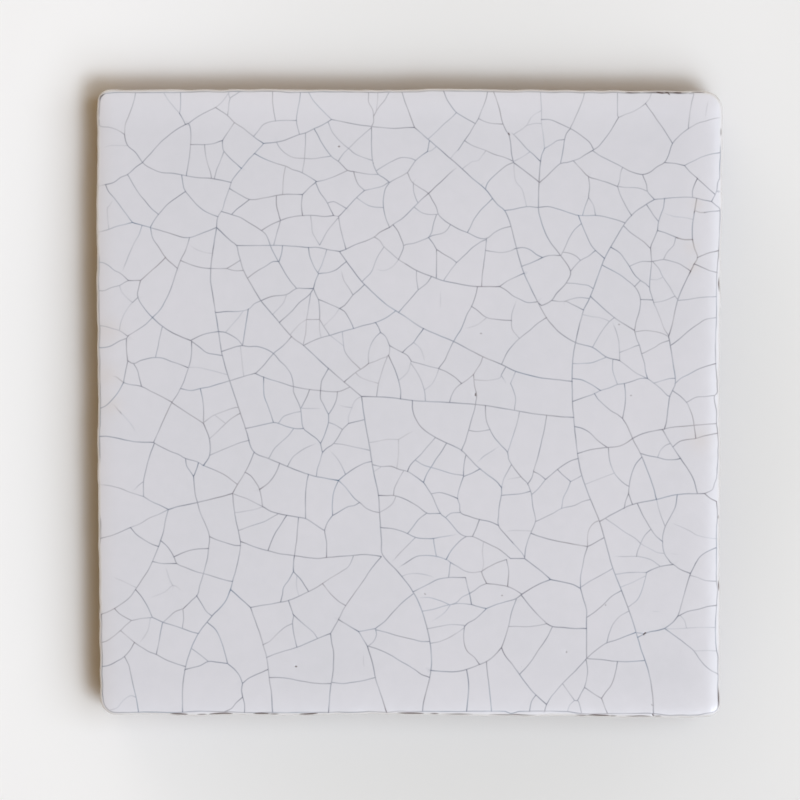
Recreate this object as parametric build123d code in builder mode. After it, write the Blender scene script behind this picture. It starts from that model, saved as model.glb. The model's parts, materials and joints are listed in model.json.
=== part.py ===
"""A square wall tile, cut by hand from a clay slab and fired with a crackle glaze.

The tile lies on its back with the glazed face up. The origin is the centre of the nominal square on
the back, +X runs to the right of the face and +Y to its top. All sizes are in millimetres.
"""

import math
import os

from build123d import *

# Nominal square that the slab is cut to, and the height of the face over the back
tile_size = 130.0
tile_thickness = 11.0

# Section of the edge: a bevel under the cut, an upright land, a rolled lip and a soft shoulder
back_edge_break = 0.4
bevel_width = 1.6
bevel_height = 6.0
bevel_break_radius = 3.0
lip_radius = 1.0
shoulder_width = 3.5
shoulder_drop = 0.35

# Where each corner of the cut lies from the nominal square, and how far it is rounded
bottom_left_drift = (0.5, 0.1)
bottom_right_drift = (-0.4, -0.4)
top_right_drift = (0.1, 0.0)
top_left_drift = (-0.2, 0.3)
bottom_left_radius = 3.5
bottom_right_radius = 2.8
top_right_radius = 3.9
top_left_radius = 2.9

# How far the cut wanders out of the straight line between two corners, at even steps along each
# side: the bottom from left to right, the right side upwards, the top from right to left and the
# left side downwards
bottom_wander = (
    -0.14, 0.12, -0.06, -0.06, -0.05, -0.25, -0.37, -0.24, -0.15, -0.06, 0.03, -0.12, 0.04, 0.15, 0.15,
)
right_wander = (
    -0.05, -0.10, -0.10, -0.22, -0.25, -0.18, -0.20, -0.38, -0.40, -0.31, -0.25, -0.25, 0.05, -0.05, 0.05,
)
top_wander = (
    0.00, 0.07, 0.08, 0.12, 0.18, 0.28, 0.42, 0.18, 0.05, 0.15, 0.15, 0.20, 0.05, 0.10, 0.03,
)
left_wander = (
    -0.05, 0.10, 0.30, 0.17, 0.32, 0.17, 0.23, 0.07, 0.30, 0.22, 0.22, 0.17, 0.06, 0.12, 0.00,
)

# Corners run anticlockwise from the bottom left, and each side starts at the corner of its number
corner_quadrants = ((-1, -1), (1, -1), (1, 1), (-1, 1))
corner_drifts = (bottom_left_drift, bottom_right_drift, top_right_drift, top_left_drift)
corner_radii = (bottom_left_radius, bottom_right_radius, top_right_radius, top_left_radius)
side_wanders = (bottom_wander, right_wander, top_wander, left_wander)

# Height of the lip before it is rolled over, and the shares of its width that the shoulder is drawn at
lip_height = tile_thickness - shoulder_drop
shoulder_shares = (0.0, 0.33, 0.67, 1.0)


def cut_corners(inset):
    """Give the four corners of the outline, before they are rounded."""
    reach = tile_size / 2 - inset
    corners = []
    for (across, up), (drift_x, drift_y) in zip(corner_quadrants, corner_drifts):
        corners.append(Vector(across * reach + drift_x, up * reach + drift_y))
    return corners


def side_direction(corners, side):
    """Give the direction from one corner to the next."""
    return (corners[(side + 1) % 4] - corners[side]).normalized()


def rounding_length(corners, corner):
    """Give how much of each side the rounding of a corner takes."""
    turn = side_direction(corners, corner - 1).get_angle(side_direction(corners, corner))
    return corner_radii[corner] * math.tan(math.radians(turn / 2))


def side_points(corners, side):
    """Give the points that one side of the cut runs through, from rounding to rounding."""
    after = (side + 1) % 4
    along = side_direction(corners, side)
    outward = Vector(along.Y, -along.X)
    start = corners[side] + along * rounding_length(corners, side)
    end = corners[after] - along * rounding_length(corners, after)
    wander = side_wanders[side]
    points = [start]
    for step, offset in enumerate(wander, start=1):
        share = step / (len(wander) + 1)
        points.append(start + (end - start) * share + outward * offset)
    points.append(end)
    return points


def cut_outline(inset, height):
    """Draw the outline of the cut as a level face, so far in from the widest outline and so high."""
    corners = cut_corners(inset)
    sides = [side_points(corners, side) for side in range(4)]
    with BuildSketch(Plane.XY.offset(height)) as section:
        with BuildLine():
            for side in range(4):
                along = side_direction(corners, side)
                Spline(*sides[side], tangents=(along, along))
                TangentArc(sides[side][-1], sides[(side + 1) % 4][0], tangent=along)
        make_face()
    return section.sketch


def shoulder_outline(share):
    """Draw the outline at a share of the shoulder's width, on the parabola that it falls away by."""
    return cut_outline(shoulder_width * share, tile_thickness - shoulder_drop * (1 - share) ** 2)


def level_edges(part, height):
    """Give the edges that lie level at a height over the back."""
    return part.edges().filter_by_position(Axis.Z, height - 0.001, height + 0.001)


with BuildPart() as tile:
    # Wall of the slab, from the back to the lip
    back = cut_outline(bevel_width, 0.0)
    bevel_top = cut_outline(0.0, bevel_height)
    lip = cut_outline(0.0, lip_height)
    loft([back, bevel_top, lip], ruled=True)
    # Crown of the face, from the lip to where it is level
    loft([shoulder_outline(share) for share in shoulder_shares])
    fillet(level_edges(tile, lip_height), radius=lip_radius)
    fillet(level_edges(tile, bevel_height), radius=bevel_break_radius)
    chamfer(level_edges(tile, 0.0), length=back_edge_break)

os.makedirs("parts", exist_ok=True)
tile.part.label = "tile"
export_step(tile.part, "parts/tile.step")
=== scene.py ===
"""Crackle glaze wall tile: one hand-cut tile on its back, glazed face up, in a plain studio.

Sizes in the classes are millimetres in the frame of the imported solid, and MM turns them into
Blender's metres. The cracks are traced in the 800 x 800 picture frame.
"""

import json
import logging
import math
from dataclasses import dataclass, field
from enum import Enum
from functools import cached_property

import bmesh
import bpy
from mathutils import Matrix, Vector, noise
from mathutils.geometry import delaunay_2d_cdt, interpolate_bezier, intersect_point_line
from mathutils.kdtree import KDTree

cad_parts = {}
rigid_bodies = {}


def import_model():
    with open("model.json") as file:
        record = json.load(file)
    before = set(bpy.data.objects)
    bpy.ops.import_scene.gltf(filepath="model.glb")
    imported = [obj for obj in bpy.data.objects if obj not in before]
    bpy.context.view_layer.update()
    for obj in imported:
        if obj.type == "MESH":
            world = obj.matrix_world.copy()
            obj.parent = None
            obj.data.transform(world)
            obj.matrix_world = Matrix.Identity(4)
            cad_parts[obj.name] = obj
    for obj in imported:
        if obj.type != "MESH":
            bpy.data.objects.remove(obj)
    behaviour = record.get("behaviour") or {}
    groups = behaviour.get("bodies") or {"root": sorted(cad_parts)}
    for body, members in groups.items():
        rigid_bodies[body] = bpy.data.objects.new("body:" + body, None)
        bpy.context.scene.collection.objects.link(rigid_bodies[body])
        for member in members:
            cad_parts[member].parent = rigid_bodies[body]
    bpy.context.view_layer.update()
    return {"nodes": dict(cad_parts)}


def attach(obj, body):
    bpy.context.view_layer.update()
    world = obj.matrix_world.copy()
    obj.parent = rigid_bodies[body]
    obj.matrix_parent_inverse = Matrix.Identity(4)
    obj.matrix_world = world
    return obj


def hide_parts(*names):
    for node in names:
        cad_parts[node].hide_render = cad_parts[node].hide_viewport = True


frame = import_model()

MM = 0.001
BAKE_MAP = "OFBake"
LOG = logging.getLogger("crackle_tile")

Colour = tuple[float, float, float]
ScreenColour = tuple[int, int, int]
Segment = tuple[Vector, Vector]

# Squared length under which a piece of line counts as a point, in square millimetres.
POINT_LIKE = 1e-12

# What the triangulation gives back: only the faces inside the rim.
FACES_INSIDE = 1


class Grade(Enum):
    """What a traced line is: how much of it shows, and how wide it is in millimetres."""

    STRONG = (0.61, 0.44)
    MAIN = (0.55, 0.41)
    FINE = (0.41, 0.40)
    HAIR = (0.26, 0.39)
    RIM = (0.54, 0.40)
    CHIP = (1.7, 0.52)
    SCUFF_AND_SHADE = (0.8, 0.46)
    SPECK = (0.95, 0.56)
    FLECK = (0.45, 0.50)
    RUST = (0.48, 0.43)
    TINGE = (0.20, 0.46)

    @property
    def strength(self) -> float:
        """Share of the line's own colour that shows along its middle."""
        return self.value[0]

    @property
    def width(self) -> float:
        """Width over which the line fades out, in millimetres."""
        return self.value[1]

    @property
    def shows_clay(self) -> bool:
        """Whether the line is drawn in the brown of bare clay, for chips, specks and the painted shade at the lip's
        edge, and is not a crack.
        """
        return self in (Grade.CHIP, Grade.SCUFF_AND_SHADE, Grade.SPECK, Grade.FLECK)

    @property
    def is_brown(self) -> bool:
        """Whether the line takes the colour of the clay and not that of the ink."""
        return self.shows_clay or self in (Grade.RUST, Grade.TINGE)

    @property
    def is_lens(self) -> bool:
        """Whether the line swells to its middle and runs out to a point at both ends."""
        return self in (Grade.CHIP, Grade.SCUFF_AND_SHADE)


# The traced lines, each a row of x,y points in the picture frame. A backslash runs a row on to the next.
TRACES = {
    # Cracks that opened first and took the most ink.
    Grade.STRONG: """\
216,227 214,240 211,260 210,279 212,293 215,312 218,331 221,351 225,367 233,392 240,413 246,431 253,451 268,458 \
287,466 308,474 326,478 338,480
216,227 231,241 236,245 238,253 243,270 253,288 261,301 272,314 291,336 303,345 314,355 328,368 349,386 361,396
414,127 429,140 444,153 457,164 471,177 485,189 497,204 504,210 509,221 514,240 521,266 530,287 545,316 552,325 \
559,332 575,342 592,347 607,357 619,360
513,162 521,168 529,174 539,182
540,161 539,172 538,195 538,207 539,215 547,237 560,255 570,271 566,282 556,293 551,300 541,305 538,303
694,211 692,225 692,239
690,271 685,281 677,300 672,323 668,336
654,199 647,203 634,212 625,222 614,240 604,258 598,274 589,298 583,310 575,342 572,363 572,401 574,426 577,453 \
581,474 590,499 599,521 607,549 612,567 621,590 632,620 640,647 648,671 652,694 653,713
152,317 161,325 168,330 180,336 190,340
361,396 389,397 412,400 449,402 485,405 509,409 532,413 559,416 572,417
361,396 364,418 369,446 373,471 378,495 379,512 381,541 382,554 398,572 413,592 422,612 429,639 431,662 429,678 \
423,702 422,711
339,251 354,272 364,284 386,304 403,315 423,328 453,341 482,356 501,364 516,371 539,377 564,380 572,381
588,295 602,307 614,317 634,330
668,336 670,346 673,366 675,382 672,390 669,397 666,421 664,429
98,436 108,436 133,441 153,442
168,509 178,506 197,502 221,496 232,493
203,423 209,439 209,455 203,465
279,463 276,471 271,479 265,485 259,489
262,506 271,511 287,515 305,518 313,523 324,530
412,400 412,409 415,418 421,427 435,437 454,446 461,450 479,468 496,481 501,487
531,533 539,536 554,540 575,544 587,546
622,418 627,426 632,438 640,453 644,463 653,487 656,499
662,429 670,443 680,458 687,468 693,479 697,493
599,521 617,511 632,504 656,499 677,494 704,493
632,438 640,434 650,431 662,429
230,589 226,599 220,607 211,616 198,633 191,647 185,666 183,679 182,692 182,711
230,589 238,596 250,607
242,683 241,689 242,696
294,555 293,564 293,571
250,607 255,621 260,635 263,646 266,656 269,680 271,694 272,711
330,633 331,641 333,651 333,662 332,676 330,687 328,712
338,619 348,625 358,631
367,646 370,656 373,667 375,678 379,690 383,702 386,712
524,558 532,564 541,571 550,579
550,579 542,582 534,586 521,594
550,579 559,581 572,584 580,588
431,670 444,671 456,671 466,669 479,664 486,661 494,655 501,647
501,647 504,654 511,663 519,674 527,685 535,694 546,704
521,595 529,605 537,614 546,623
466,669 468,681 468,692 466,711
580,588 583,599 586,609 586,618 586,628 586,642 586,658
546,623 552,626 563,627 574,628 586,628
677,616 672,622 664,628
664,628 657,630 647,632 637,637
406,264 416,270 431,276 442,280 456,283 467,285 477,286 499,286
""",
    # Cracks that divide the face between the strong ones.
    Grade.MAIN: """\
124,134 125,140 128,146 135,152 142,162 147,166 153,169 161,172 173,173 196,177 211,178 231,182
179,113 182,118 185,124
142,162 150,153 160,142 168,135 176,129 185,124
185,124 188,123 190,129 190,144 189,155 186,174
215,107 227,115 234,122 243,128 253,136 263,143
222,140 222,145 223,150 231,159 241,168
190,144 205,144 213,143 222,140
263,143 254,153 248,159 241,168 235,175 231,181 229,188 225,198 222,209 217,217 216,227
236,245 255,245 282,245 296,246 308,247 318,247 327,249 339,251
229,188 241,195 249,199 266,197 282,194 302,194
249,199 236,209 231,214
221,211 231,214 240,217 248,222 261,230 266,235 271,248 278,261 288,278 296,288
181,175 183,186 185,191 190,197 196,204 205,211 217,216
185,191 176,197 166,205 158,214 153,221 150,226
127,174 137,191 145,201 151,208 158,214
105,184 113,182 120,177 127,174 135,167 142,162
105,184 108,191 115,199 123,210 132,222
132,222 143,225 150,227 163,231 176,235 183,237 190,237 198,234 206,231 216,227
150,227 152,237 159,248 165,257 170,262 177,268
189,237 185,250 180,260 177,268 170,289 165,300 159,310 152,317
263,143 273,142 283,140 291,137 299,134 306,132 314,128 321,125 331,119
331,119 351,123 363,125 381,127 393,128 406,127 414,127
314,129 317,134 321,142 331,156 338,161 343,166 347,170 353,171
254,153 263,158 273,162 286,166 292,169 301,172 316,181
302,194 308,188 316,181
315,182 319,191 326,201 330,209 333,215
302,195 301,205 302,215
276,196 276,205 278,213 280,220
261,230 269,225 280,220 289,217 302,215 314,215 324,216 333,215
338,216 341,213 346,208 356,197 364,190
364,190 358,184 355,178 353,172
338,216 339,223 341,232 345,248
371,127 371,137 371,148 372,160 374,167 378,174 383,177 389,182
389,182 385,188 383,198 383,207 385,217 389,227
339,251 345,249 353,245 373,237 379,232 389,227
389,227 394,223 403,217 412,208 422,198 428,193
393,225 397,230 401,239 403,245 402,250 398,259
401,90 404,100 409,113 414,127
443,90 446,98 451,106 456,112 464,117 473,122
478,118 473,126 469,133 464,140 458,149
464,140 472,145 485,150 494,154 504,157 512,161
493,89 496,99 499,109 502,122 506,131 508,133 510,142 511,153 513,162
511,132 519,140 527,149 534,155 540,161
513,162 506,165 497,172 489,180 486,185 485,189
541,119 549,119 559,123 570,128 575,131 582,136 589,142 593,149
570,128 566,133 564,139 563,147 560,163
544,148 541,155 540,161
539,182 547,175 554,168 560,163 566,162 573,160 579,158 585,154 592,150
504,210 512,209 521,207 529,206 538,207 547,206 556,208 571,213 578,215 597,215 607,217 615,219 624,222
492,198 486,204 479,211 474,218 470,226 467,232
407,172 411,181 419,187 428,193 432,200 436,207 438,214 444,220 450,224 459,229 467,232 477,237 486,238 494,232 \
502,228 510,226
486,238 485,250 482,273 481,285
485,239 481,241 472,247 464,255 456,262
456,167 449,173 441,181 434,187 428,193
436,215 433,223 431,232 428,237
428,237 432,242 436,249
429,140 428,146 427,151
427,151 420,156 415,160 411,166 407,172
645,103 650,110 657,120 664,130 672,143
618,117 615,122 609,132 603,140 598,146 592,150
592,150 599,155 609,160 617,164 630,171 642,174 649,172 657,166 664,162 668,155 672,143 679,135 688,128
664,162 674,163 684,165
684,165 690,172 697,178 709,189 713,193
697,178 694,184 692,191 692,197
654,199 664,198 677,197 692,197 705,200 711,201
664,198 663,207 660,215 658,221 657,229
646,204 650,210 654,216 658,221
657,230 654,237 651,244 650,248
657,230 664,232 676,237
642,174 646,184 647,191 650,195 654,199
617,186 620,195 625,205 631,215
573,161 579,167 588,176 597,179 607,182 617,186
588,176 589,185 588,196
578,216 581,223 585,233 591,245 595,250 604,258
624,226 630,232 637,237 644,242 650,248
165,257 158,264 150,271 140,280
128,280 134,280 140,280
140,280 138,288 137,295 141,304 147,312 152,317
180,260 190,264 200,267 210,268
248,277 256,271 266,265 273,261 278,261
215,312 226,311 236,311 244,310 249,308 254,303 261,300
248,309 246,320 244,333 242,345
190,340 198,336 206,333 218,331
218,331 225,332 233,336 238,340 242,345
242,345 248,346 256,346 264,348 273,353 279,360 286,367 291,375 293,386 293,391 300,408 301,418 303,428 309,433 \
316,438 320,443
221,351 230,348 236,346 242,345
190,340 198,346 206,352 215,354 222,355
191,341 191,350 190,360 184,379 180,388 176,395 172,401 166,413 157,433 153,442
104,347 111,345 120,340 126,338 128,335
126,338 126,348 127,360
127,360 133,363 140,360 148,358 155,357 163,358 171,361 180,364 187,367
133,363 137,370 139,378 141,386
127,361 125,371 123,382
123,382 130,384 141,386 151,391 161,396 172,402
123,382 118,391 110,401 104,406 98,408
180,388 190,390 200,388 210,386 220,383 230,380 243,376 255,372
200,389 202,398 203,409 203,423
282,245 281,253 279,261
261,300 271,296 286,294 296,288 304,288 313,288
308,247 309,255 312,263 315,269 318,273
318,273 315,280 313,288
320,274 328,272 336,269 341,265 346,261
313,288 308,295 299,302 291,311 280,321
313,288 316,295 318,299 319,310 319,319
318,299 328,303 339,308
303,345 311,341 321,337 329,335 342,331 353,328 363,325 375,322 386,317 395,311
339,308 344,311 348,317 351,323 353,328
339,308 344,305 352,295 358,290 364,284
398,312 404,305 413,295 417,290 426,283 431,276
375,322 378,327 380,331
381,332 385,336 389,345
368,363 363,367 355,372 344,381
389,345 396,349 402,352 407,355 411,361
402,352 407,347 413,342 418,335 423,328
389,356 394,368 398,380 400,390 400,398
291,336 283,345 273,353 263,365 255,373
255,373 264,377 280,382 293,386 309,389 320,390 328,391 338,391 344,389 350,386
263,377 263,386 264,397 268,407 270,413 273,422
309,390 306,397 303,403 300,408
320,390 320,398 323,404 328,414
337,391 336,398 333,406 328,414
328,368 324,375 321,381 320,390
436,249 436,258 436,269 436,277
436,249 444,254 451,258 456,262
515,248 522,247 529,249 536,254 542,257
542,257 549,255 560,255
521,266 529,263 536,260 542,257
523,273 514,277 506,281 499,286
499,286 506,290 512,295 518,298 527,302 536,302
546,317 537,323 529,330 519,338 512,345 506,353 501,364
551,300 559,301 566,301 572,304 584,310
477,286 475,295 471,306 466,315 461,328 456,336 453,341 449,349 444,360 438,368
471,306 477,310 486,317 497,319 511,320
438,368 447,372 455,377 461,383
461,383 455,388 451,395 449,401
473,374 474,385 476,395 475,404 474,409 471,419 468,430 465,440 462,449
595,250 589,255 580,260 574,266 570,271
611,247 619,252 625,260 629,266 634,274 640,280 645,283 649,287
603,265 610,269 619,274 627,280 634,286 638,292 640,299 639,310 636,320 634,330
640,299 645,299 651,300
650,248 651,261 650,273 649,287 651,295 653,301
651,261 657,260 663,259 672,261 680,264 689,270
697,257 704,254 710,252 718,250
695,264 702,267 709,270 717,272
670,345 677,340 684,334 690,329 697,324 705,319 715,317
634,330 636,338 639,345 641,353 644,363 645,371 647,378
675,383 680,378 688,374 697,369 705,366 715,363
647,378 654,383 660,388 667,395 669,396
672,390 679,395 686,402 689,408 692,416 694,428 695,437
572,378 580,379 587,382 594,386 600,390
572,401 580,398 589,395 594,393 600,390 610,387 617,384 624,383 634,380 640,378 647,378
594,393 597,398 602,403 610,410 617,414 622,418
624,384 625,395 624,408 622,418
171,402 180,408 191,415 203,423
153,443 160,446 170,451 178,454 185,458 196,461 203,465 215,470 225,475 237,484
153,444 150,453 147,463 145,471 143,481 143,496
143,496 151,501 160,505 168,509
232,493 237,484 241,478 245,471 249,463 253,453
245,472 250,475 256,483 259,489 261,498 262,506
185,458 186,465 189,470 193,476
198,462 196,469 193,476
193,476 194,488 195,496 197,502 200,513 205,524 209,536 208,548 207,557 203,573 199,586 197,594 190,601 183,608
209,536 218,540 228,543 235,545 240,545
245,428 259,425 273,422 278,423 286,426 294,428 303,428
232,493 233,504 235,518 238,531 240,541
240,541 240,545 239,553 235,571 232,581 230,589
240,541 248,544 256,547 267,550 278,553 293,555 306,557 318,558 326,557 339,556 353,555 364,554 374,555 381,556
168,509 165,519 163,531 160,540 158,546 152,561 148,569 141,580 135,589 130,596 123,602 114,608
130,527 121,531 111,535 100,538
130,527 135,533 143,539 150,543 158,546
160,540 166,545 171,552 174,558 176,563 185,567 195,571 203,573 213,576 223,579 232,581
174,556 183,552 193,549 208,548
152,561 161,563 170,563 176,563
328,414 328,422 326,429 323,437 320,443
320,443 322,452
322,452 326,448 333,443 338,436 342,429 348,423
348,423 356,421 364,419
286,516 279,526 273,536 268,548
298,517 297,528 296,541 294,554
308,474 306,483 305,494 305,508 305,518
324,530 327,522 332,515
332,515 339,511 348,506 354,505 359,502
338,480 334,489 332,499 331,514
338,480 346,488 354,498 359,502 366,508 373,511 379,512
338,480 345,474 354,468 363,463 371,461
324,530 326,543 326,557
373,464 381,466 391,466 399,469 407,471 415,476 423,482
378,495 386,495 393,495 403,498 416,505 427,513 432,513 440,513
381,527 391,528 399,530 407,533 415,537 422,538 433,538
381,556 371,568 363,580 353,594 348,601 344,607 338,619 334,626 330,633
435,437 427,446 421,453 414,460 409,466 407,471
446,443 441,451 436,458 431,466 426,474 423,482
423,482 427,488 431,494 435,503 440,513 446,518 452,525 459,533 466,536 472,536 481,540 489,544 499,549 510,558
431,493 439,492 447,494 457,498
485,405 485,413 486,421 489,428 494,437 499,443 507,452 508,458 511,464 517,472 522,478 527,483 529,488 531,494 \
532,504 534,514 535,521 531,531 527,541 525,549 524,558
466,454 464,461 463,469 463,475
463,476 471,473 479,469
463,476 460,484 458,491 457,498 459,504 460,512 469,516 479,519 489,521 498,525
479,519 476,527 472,536
501,487 501,494 499,504 498,514 498,525 504,533 512,542
501,495 511,494 521,493 529,491
546,416 544,428 541,441 538,454 533,471 531,478 528,483
533,471 539,474 545,479
545,479 551,474 557,469 564,464 571,460 577,458
557,469 563,475 570,481
426,513 418,519 412,527 407,533
398,567 406,562 416,556 426,555 436,556 446,559 450,562
466,536 461,539 454,546 450,551 446,558
510,558 517,558 524,558
574,426 582,428 589,432 595,438 601,443 607,447
577,453 587,450 597,448 607,447 617,446 625,443 632,438
662,429 670,427 680,426 692,425 704,424 716,423
640,457 635,464 631,474 629,483 628,493
640,453 647,455 657,457 665,459 674,459 680,458
673,446 679,441 687,439 695,438 705,435 716,433
628,493 625,501 624,508
628,493 630,499 632,504
608,448 609,459 613,471 619,479 624,483 628,486
637,504 642,514 650,528 656,536 662,541
677,495 675,506 670,516 664,528 662,541 664,553 670,562
695,563 699,557 705,552 715,547
704,493 710,498 716,501
587,546 595,542 604,537
587,546 584,556 582,566 580,577 580,588
135,589 141,596 147,606 152,617
114,608 120,614 125,617 131,620
152,617 163,622 173,625 182,628 190,631 198,633
134,642 130,649 124,656 116,661 108,665 102,666
134,642 143,648 150,652 156,654 165,659 175,663 185,666
124,656 128,664 130,672 133,686 136,699 138,712
197,596 201,603 206,611 211,615
250,607 261,605 273,603 288,600 298,596 308,591 316,587 322,583
207,622 215,629 220,639 224,651 227,663
227,663 235,670 240,677 242,683
242,683 248,678 256,674 267,669
242,696 244,704 244,712
240,697 235,703 231,708 224,711
185,669 193,667 200,665 208,661 218,662 227,663
162,622 160,632 158,644 156,653
293,571 288,580 283,587 282,594 280,601
293,571 301,580 308,591
322,583 329,592 337,600 345,605
288,600 291,609 293,615 292,622 293,632 296,646
293,614 299,620 306,626 313,632 317,638
266,657 276,653 286,650 296,647 306,643 317,638 330,633
269,677 278,677 288,678 298,680 309,682 319,683 330,683
332,682 341,683 351,682 363,680 375,677
358,632 363,639 367,646
376,629 386,632 396,635 404,637 413,639 421,641 429,641
375,628 384,621 394,610 403,601 413,593
368,646 378,649 389,654 399,660 406,664 414,669 421,674 429,677
413,591 421,587 429,583 437,579 448,577 456,577 465,577
465,577 467,586 469,593 471,604
486,583 479,586 474,590 469,593
486,583 496,584 507,586 514,589 521,593
506,559 508,569 508,577 507,586
481,571 489,566 497,562 506,559
481,571 483,577 486,583
521,594 516,598 506,601 496,604 486,608
471,604 477,606 486,608
486,608 481,613 474,619 467,623 464,626
464,626 463,636 464,644 467,651 474,657 479,664
501,647 504,639 508,626 511,612 516,598
552,626 546,638 537,651 529,663 519,674
546,704 551,696 556,690 562,683 571,674 579,666 586,658
535,695 531,701 529,711
486,661 487,674 489,689 491,711
586,658 600,659 617,661 630,661 644,660
617,661 615,672 611,684 605,692 601,698
586,659 587,669 586,679 584,687
584,687 590,691 601,698
584,687 580,694 577,700
601,698 604,706 607,712
646,572 652,569 660,566 673,564
670,562 673,564 680,569 690,573
695,563 690,573
690,573 686,586 682,600 679,611 677,616
677,616 687,611 697,609 707,606 717,605
664,628 674,635 682,641 693,650 700,660 709,669 717,674
587,617 595,611 604,603 611,596 621,590
586,658 594,651 605,643 617,639 627,635 635,632
""",
    # Later, thinner cracks that run from one wall of a cell to the other.
    Grade.FINE: """\
135,92 134,98 131,108 128,116 125,123 124,134
98,125 110,127 118,130 124,134
180,92 180,108 179,113
188,122 193,119 203,113 215,107
227,115 228,108 229,100 230,97 235,94 241,90
234,122 230,128 225,135 222,140
204,145 205,153 207,163 210,172 211,177
223,151 220,160 216,170 214,177
96,232 108,229 116,226 132,222
141,227 139,233 135,240 131,248 127,258 122,270
272,91 272,100 273,109 275,120
253,136 258,130 263,124 271,121 281,120 296,120
300,92 299,100 296,116 296,122 299,134
308,92 312,99 318,106 331,119
328,122 331,130 336,137 342,143 348,148 354,153 363,157 371,160
371,127 364,133 356,140 348,148 343,153 339,159
353,171 363,173 371,174 378,174
305,132 305,140 304,158 303,165 302,172
276,142 279,147 285,153 293,157 304,158 314,158 330,156
285,166 283,177 282,193
316,181 326,179 336,175 347,170
280,220 278,227 273,245
310,216 311,223 312,232 315,238 318,244
337,217 332,224 326,232 319,245
364,190 373,188 381,186 388,182
356,197 363,202 371,206 383,207
346,208 339,204 333,201 328,202
389,182 396,178 402,175 407,172
378,169 384,165 393,160 401,157 411,158 415,160
374,237 379,240 383,246 391,253 398,259 406,264
368,101 372,109 373,116 373,122 371,126
389,92 384,100 378,107 374,116
456,112 451,117 444,123 436,131 428,138
487,92 485,100 481,110 478,118
478,118 484,121 492,123 502,124
544,148 551,144 557,140 564,139
413,182 413,190 415,197 417,202
414,207 421,212 429,214 437,214
450,224 446,230 441,233 432,235 428,237
428,237 421,240 413,243 406,244 403,245
584,91 582,100 577,112 573,121 570,127
617,92 617,102 617,115 618,117
618,117 625,114 635,110 641,106 645,103
688,128 697,123 707,120 714,118 722,117
693,92 691,103 689,115 687,127
684,165 692,161 700,157 709,154 719,152
704,212 710,211 719,210
675,237 674,242 673,245 669,249 666,253 663,259
622,167 620,173 619,181 617,186
617,186 625,187 634,187 640,188 646,191
588,197 585,205 582,215
589,197 593,205 595,215
581,223 574,229 569,237 564,248 561,255
102,262 108,265 114,270 120,273 128,280
104,290 111,287 119,285 124,282 128,280
132,302 137,297
210,268 220,268 226,268
226,268 233,264 239,260
226,268 233,270 243,270
152,317 145,324 136,330 128,335
98,325 105,326 112,328 119,330 126,335
161,327 159,338 157,348 155,356
326,250 324,256 321,265 318,272
311,292 309,301 307,313 306,319 305,333 303,344
306,319 319,319
319,319 322,324 326,330 329,335
341,270 343,279 348,287 352,294
363,280 371,271 375,261 379,253 383,247
380,332 374,338 370,345 368,353 368,363
389,345 389,350 388,355 381,358 374,361 368,363
342,332 343,343 344,350 349,358 355,364 359,367
387,355 383,366 380,376 378,383 376,396
456,262 450,270 445,277 443,280
485,250 492,251 502,252 511,250 515,248
516,300 513,308 511,316 511,325 513,331 519,338
561,251 570,253 576,256 580,260
566,283 574,283 582,284 588,285 592,288
416,270 416,278 417,285 418,290
411,361 419,363 429,366 438,368
411,363 416,371 421,381 424,391 425,400
461,383 467,379 473,374
482,357 480,363 476,369 473,374
505,367 501,374
501,375 504,380 506,383
515,371 513,376 510,383
510,383 513,390 515,398 514,409
564,302 570,299 579,297 589,298
614,317 609,321 604,327 598,336 593,345
612,322 615,329 618,340 619,352 619,360
572,363 582,363 592,362 600,359 606,357
612,360 612,368 614,376 617,384
619,352 627,349 634,346 638,345
640,280 637,283 634,286
629,266 635,263 642,261 651,261
652,261 659,269 662,276 669,286 674,295 677,299
653,302 660,301 667,299 674,296
653,302 657,311 661,321 664,329 668,335
677,300 687,299 700,297 716,296
636,331 644,330 654,331 662,333 667,336
668,340 660,343 654,347 646,351 642,353
654,382 662,380 669,378 674,378
687,401 695,397 704,396 713,395
619,360 627,366 635,372 643,376 647,378
143,481 138,485 133,490
99,484 108,485 120,488 130,492 143,496
205,422 213,415 223,411 235,407 238,407
210,438 216,432 224,424 231,418 239,413
209,455 218,451 230,446 240,442 248,440
232,493 240,496 246,498 254,502 262,506
238,530 246,527 258,523 266,520 278,515
168,509 160,513 148,518 140,523 130,527
278,422 283,416 291,413 300,411
293,429 287,436 279,443 274,448 268,458
316,443 306,447 298,452 292,457 287,466
328,422 334,424 342,429
333,443 343,444 351,446 361,448 369,450
330,451 336,457 341,465 345,474
322,452 320,459 317,468 316,475
403,471 398,479 394,488 393,495
379,512 386,508 392,503 395,497
353,555 352,558 348,566 341,571 331,577 322,583
415,537 410,542 406,546 399,553 392,561
433,538 444,536 456,534
416,461 424,465 431,467 441,470 451,473 463,475
469,430 477,431 488,430
498,446 491,451 483,456 477,462
446,516 450,513 460,512
519,411 517,421 514,431 510,443 507,452
509,465 506,473 503,479 501,487
512,542 521,552 524,557
535,521 544,517 552,513 561,508 574,505 582,501 590,499
570,482 567,489 563,497 561,508
545,479 541,484 536,490 531,494
570,481 576,478 581,475
433,538 434,546 436,555
657,457 660,450 665,445 670,443
656,499 659,511 664,526
606,520 615,525 625,532 635,538 640,543
650,529 645,534 640,543 637,551 636,556
614,556 627,556 637,556 650,559 660,566
599,520 594,522 589,528 587,536 587,546
131,620 141,618 152,617
131,620 125,625 120,630 113,636 105,641 102,642
120,630 127,636 134,642
114,608 106,612 99,614
183,608 175,611 169,616 163,621
183,610 183,619 182,627
191,648 198,653 208,661
292,623 284,627 276,634 269,641 263,644
358,631 364,630 375,628
375,629 376,634 373,641 367,646
450,562 449,569 448,577
450,562 457,566 466,571 474,572 481,571
469,593 461,597 456,602 451,604
451,604 459,603 471,604
419,597 429,597 439,600 449,604
423,610 432,609 442,606 450,604
427,628 439,626 451,624 465,625
464,627 457,632 449,637 439,641 430,643
508,626 519,626 531,626 546,624
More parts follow.
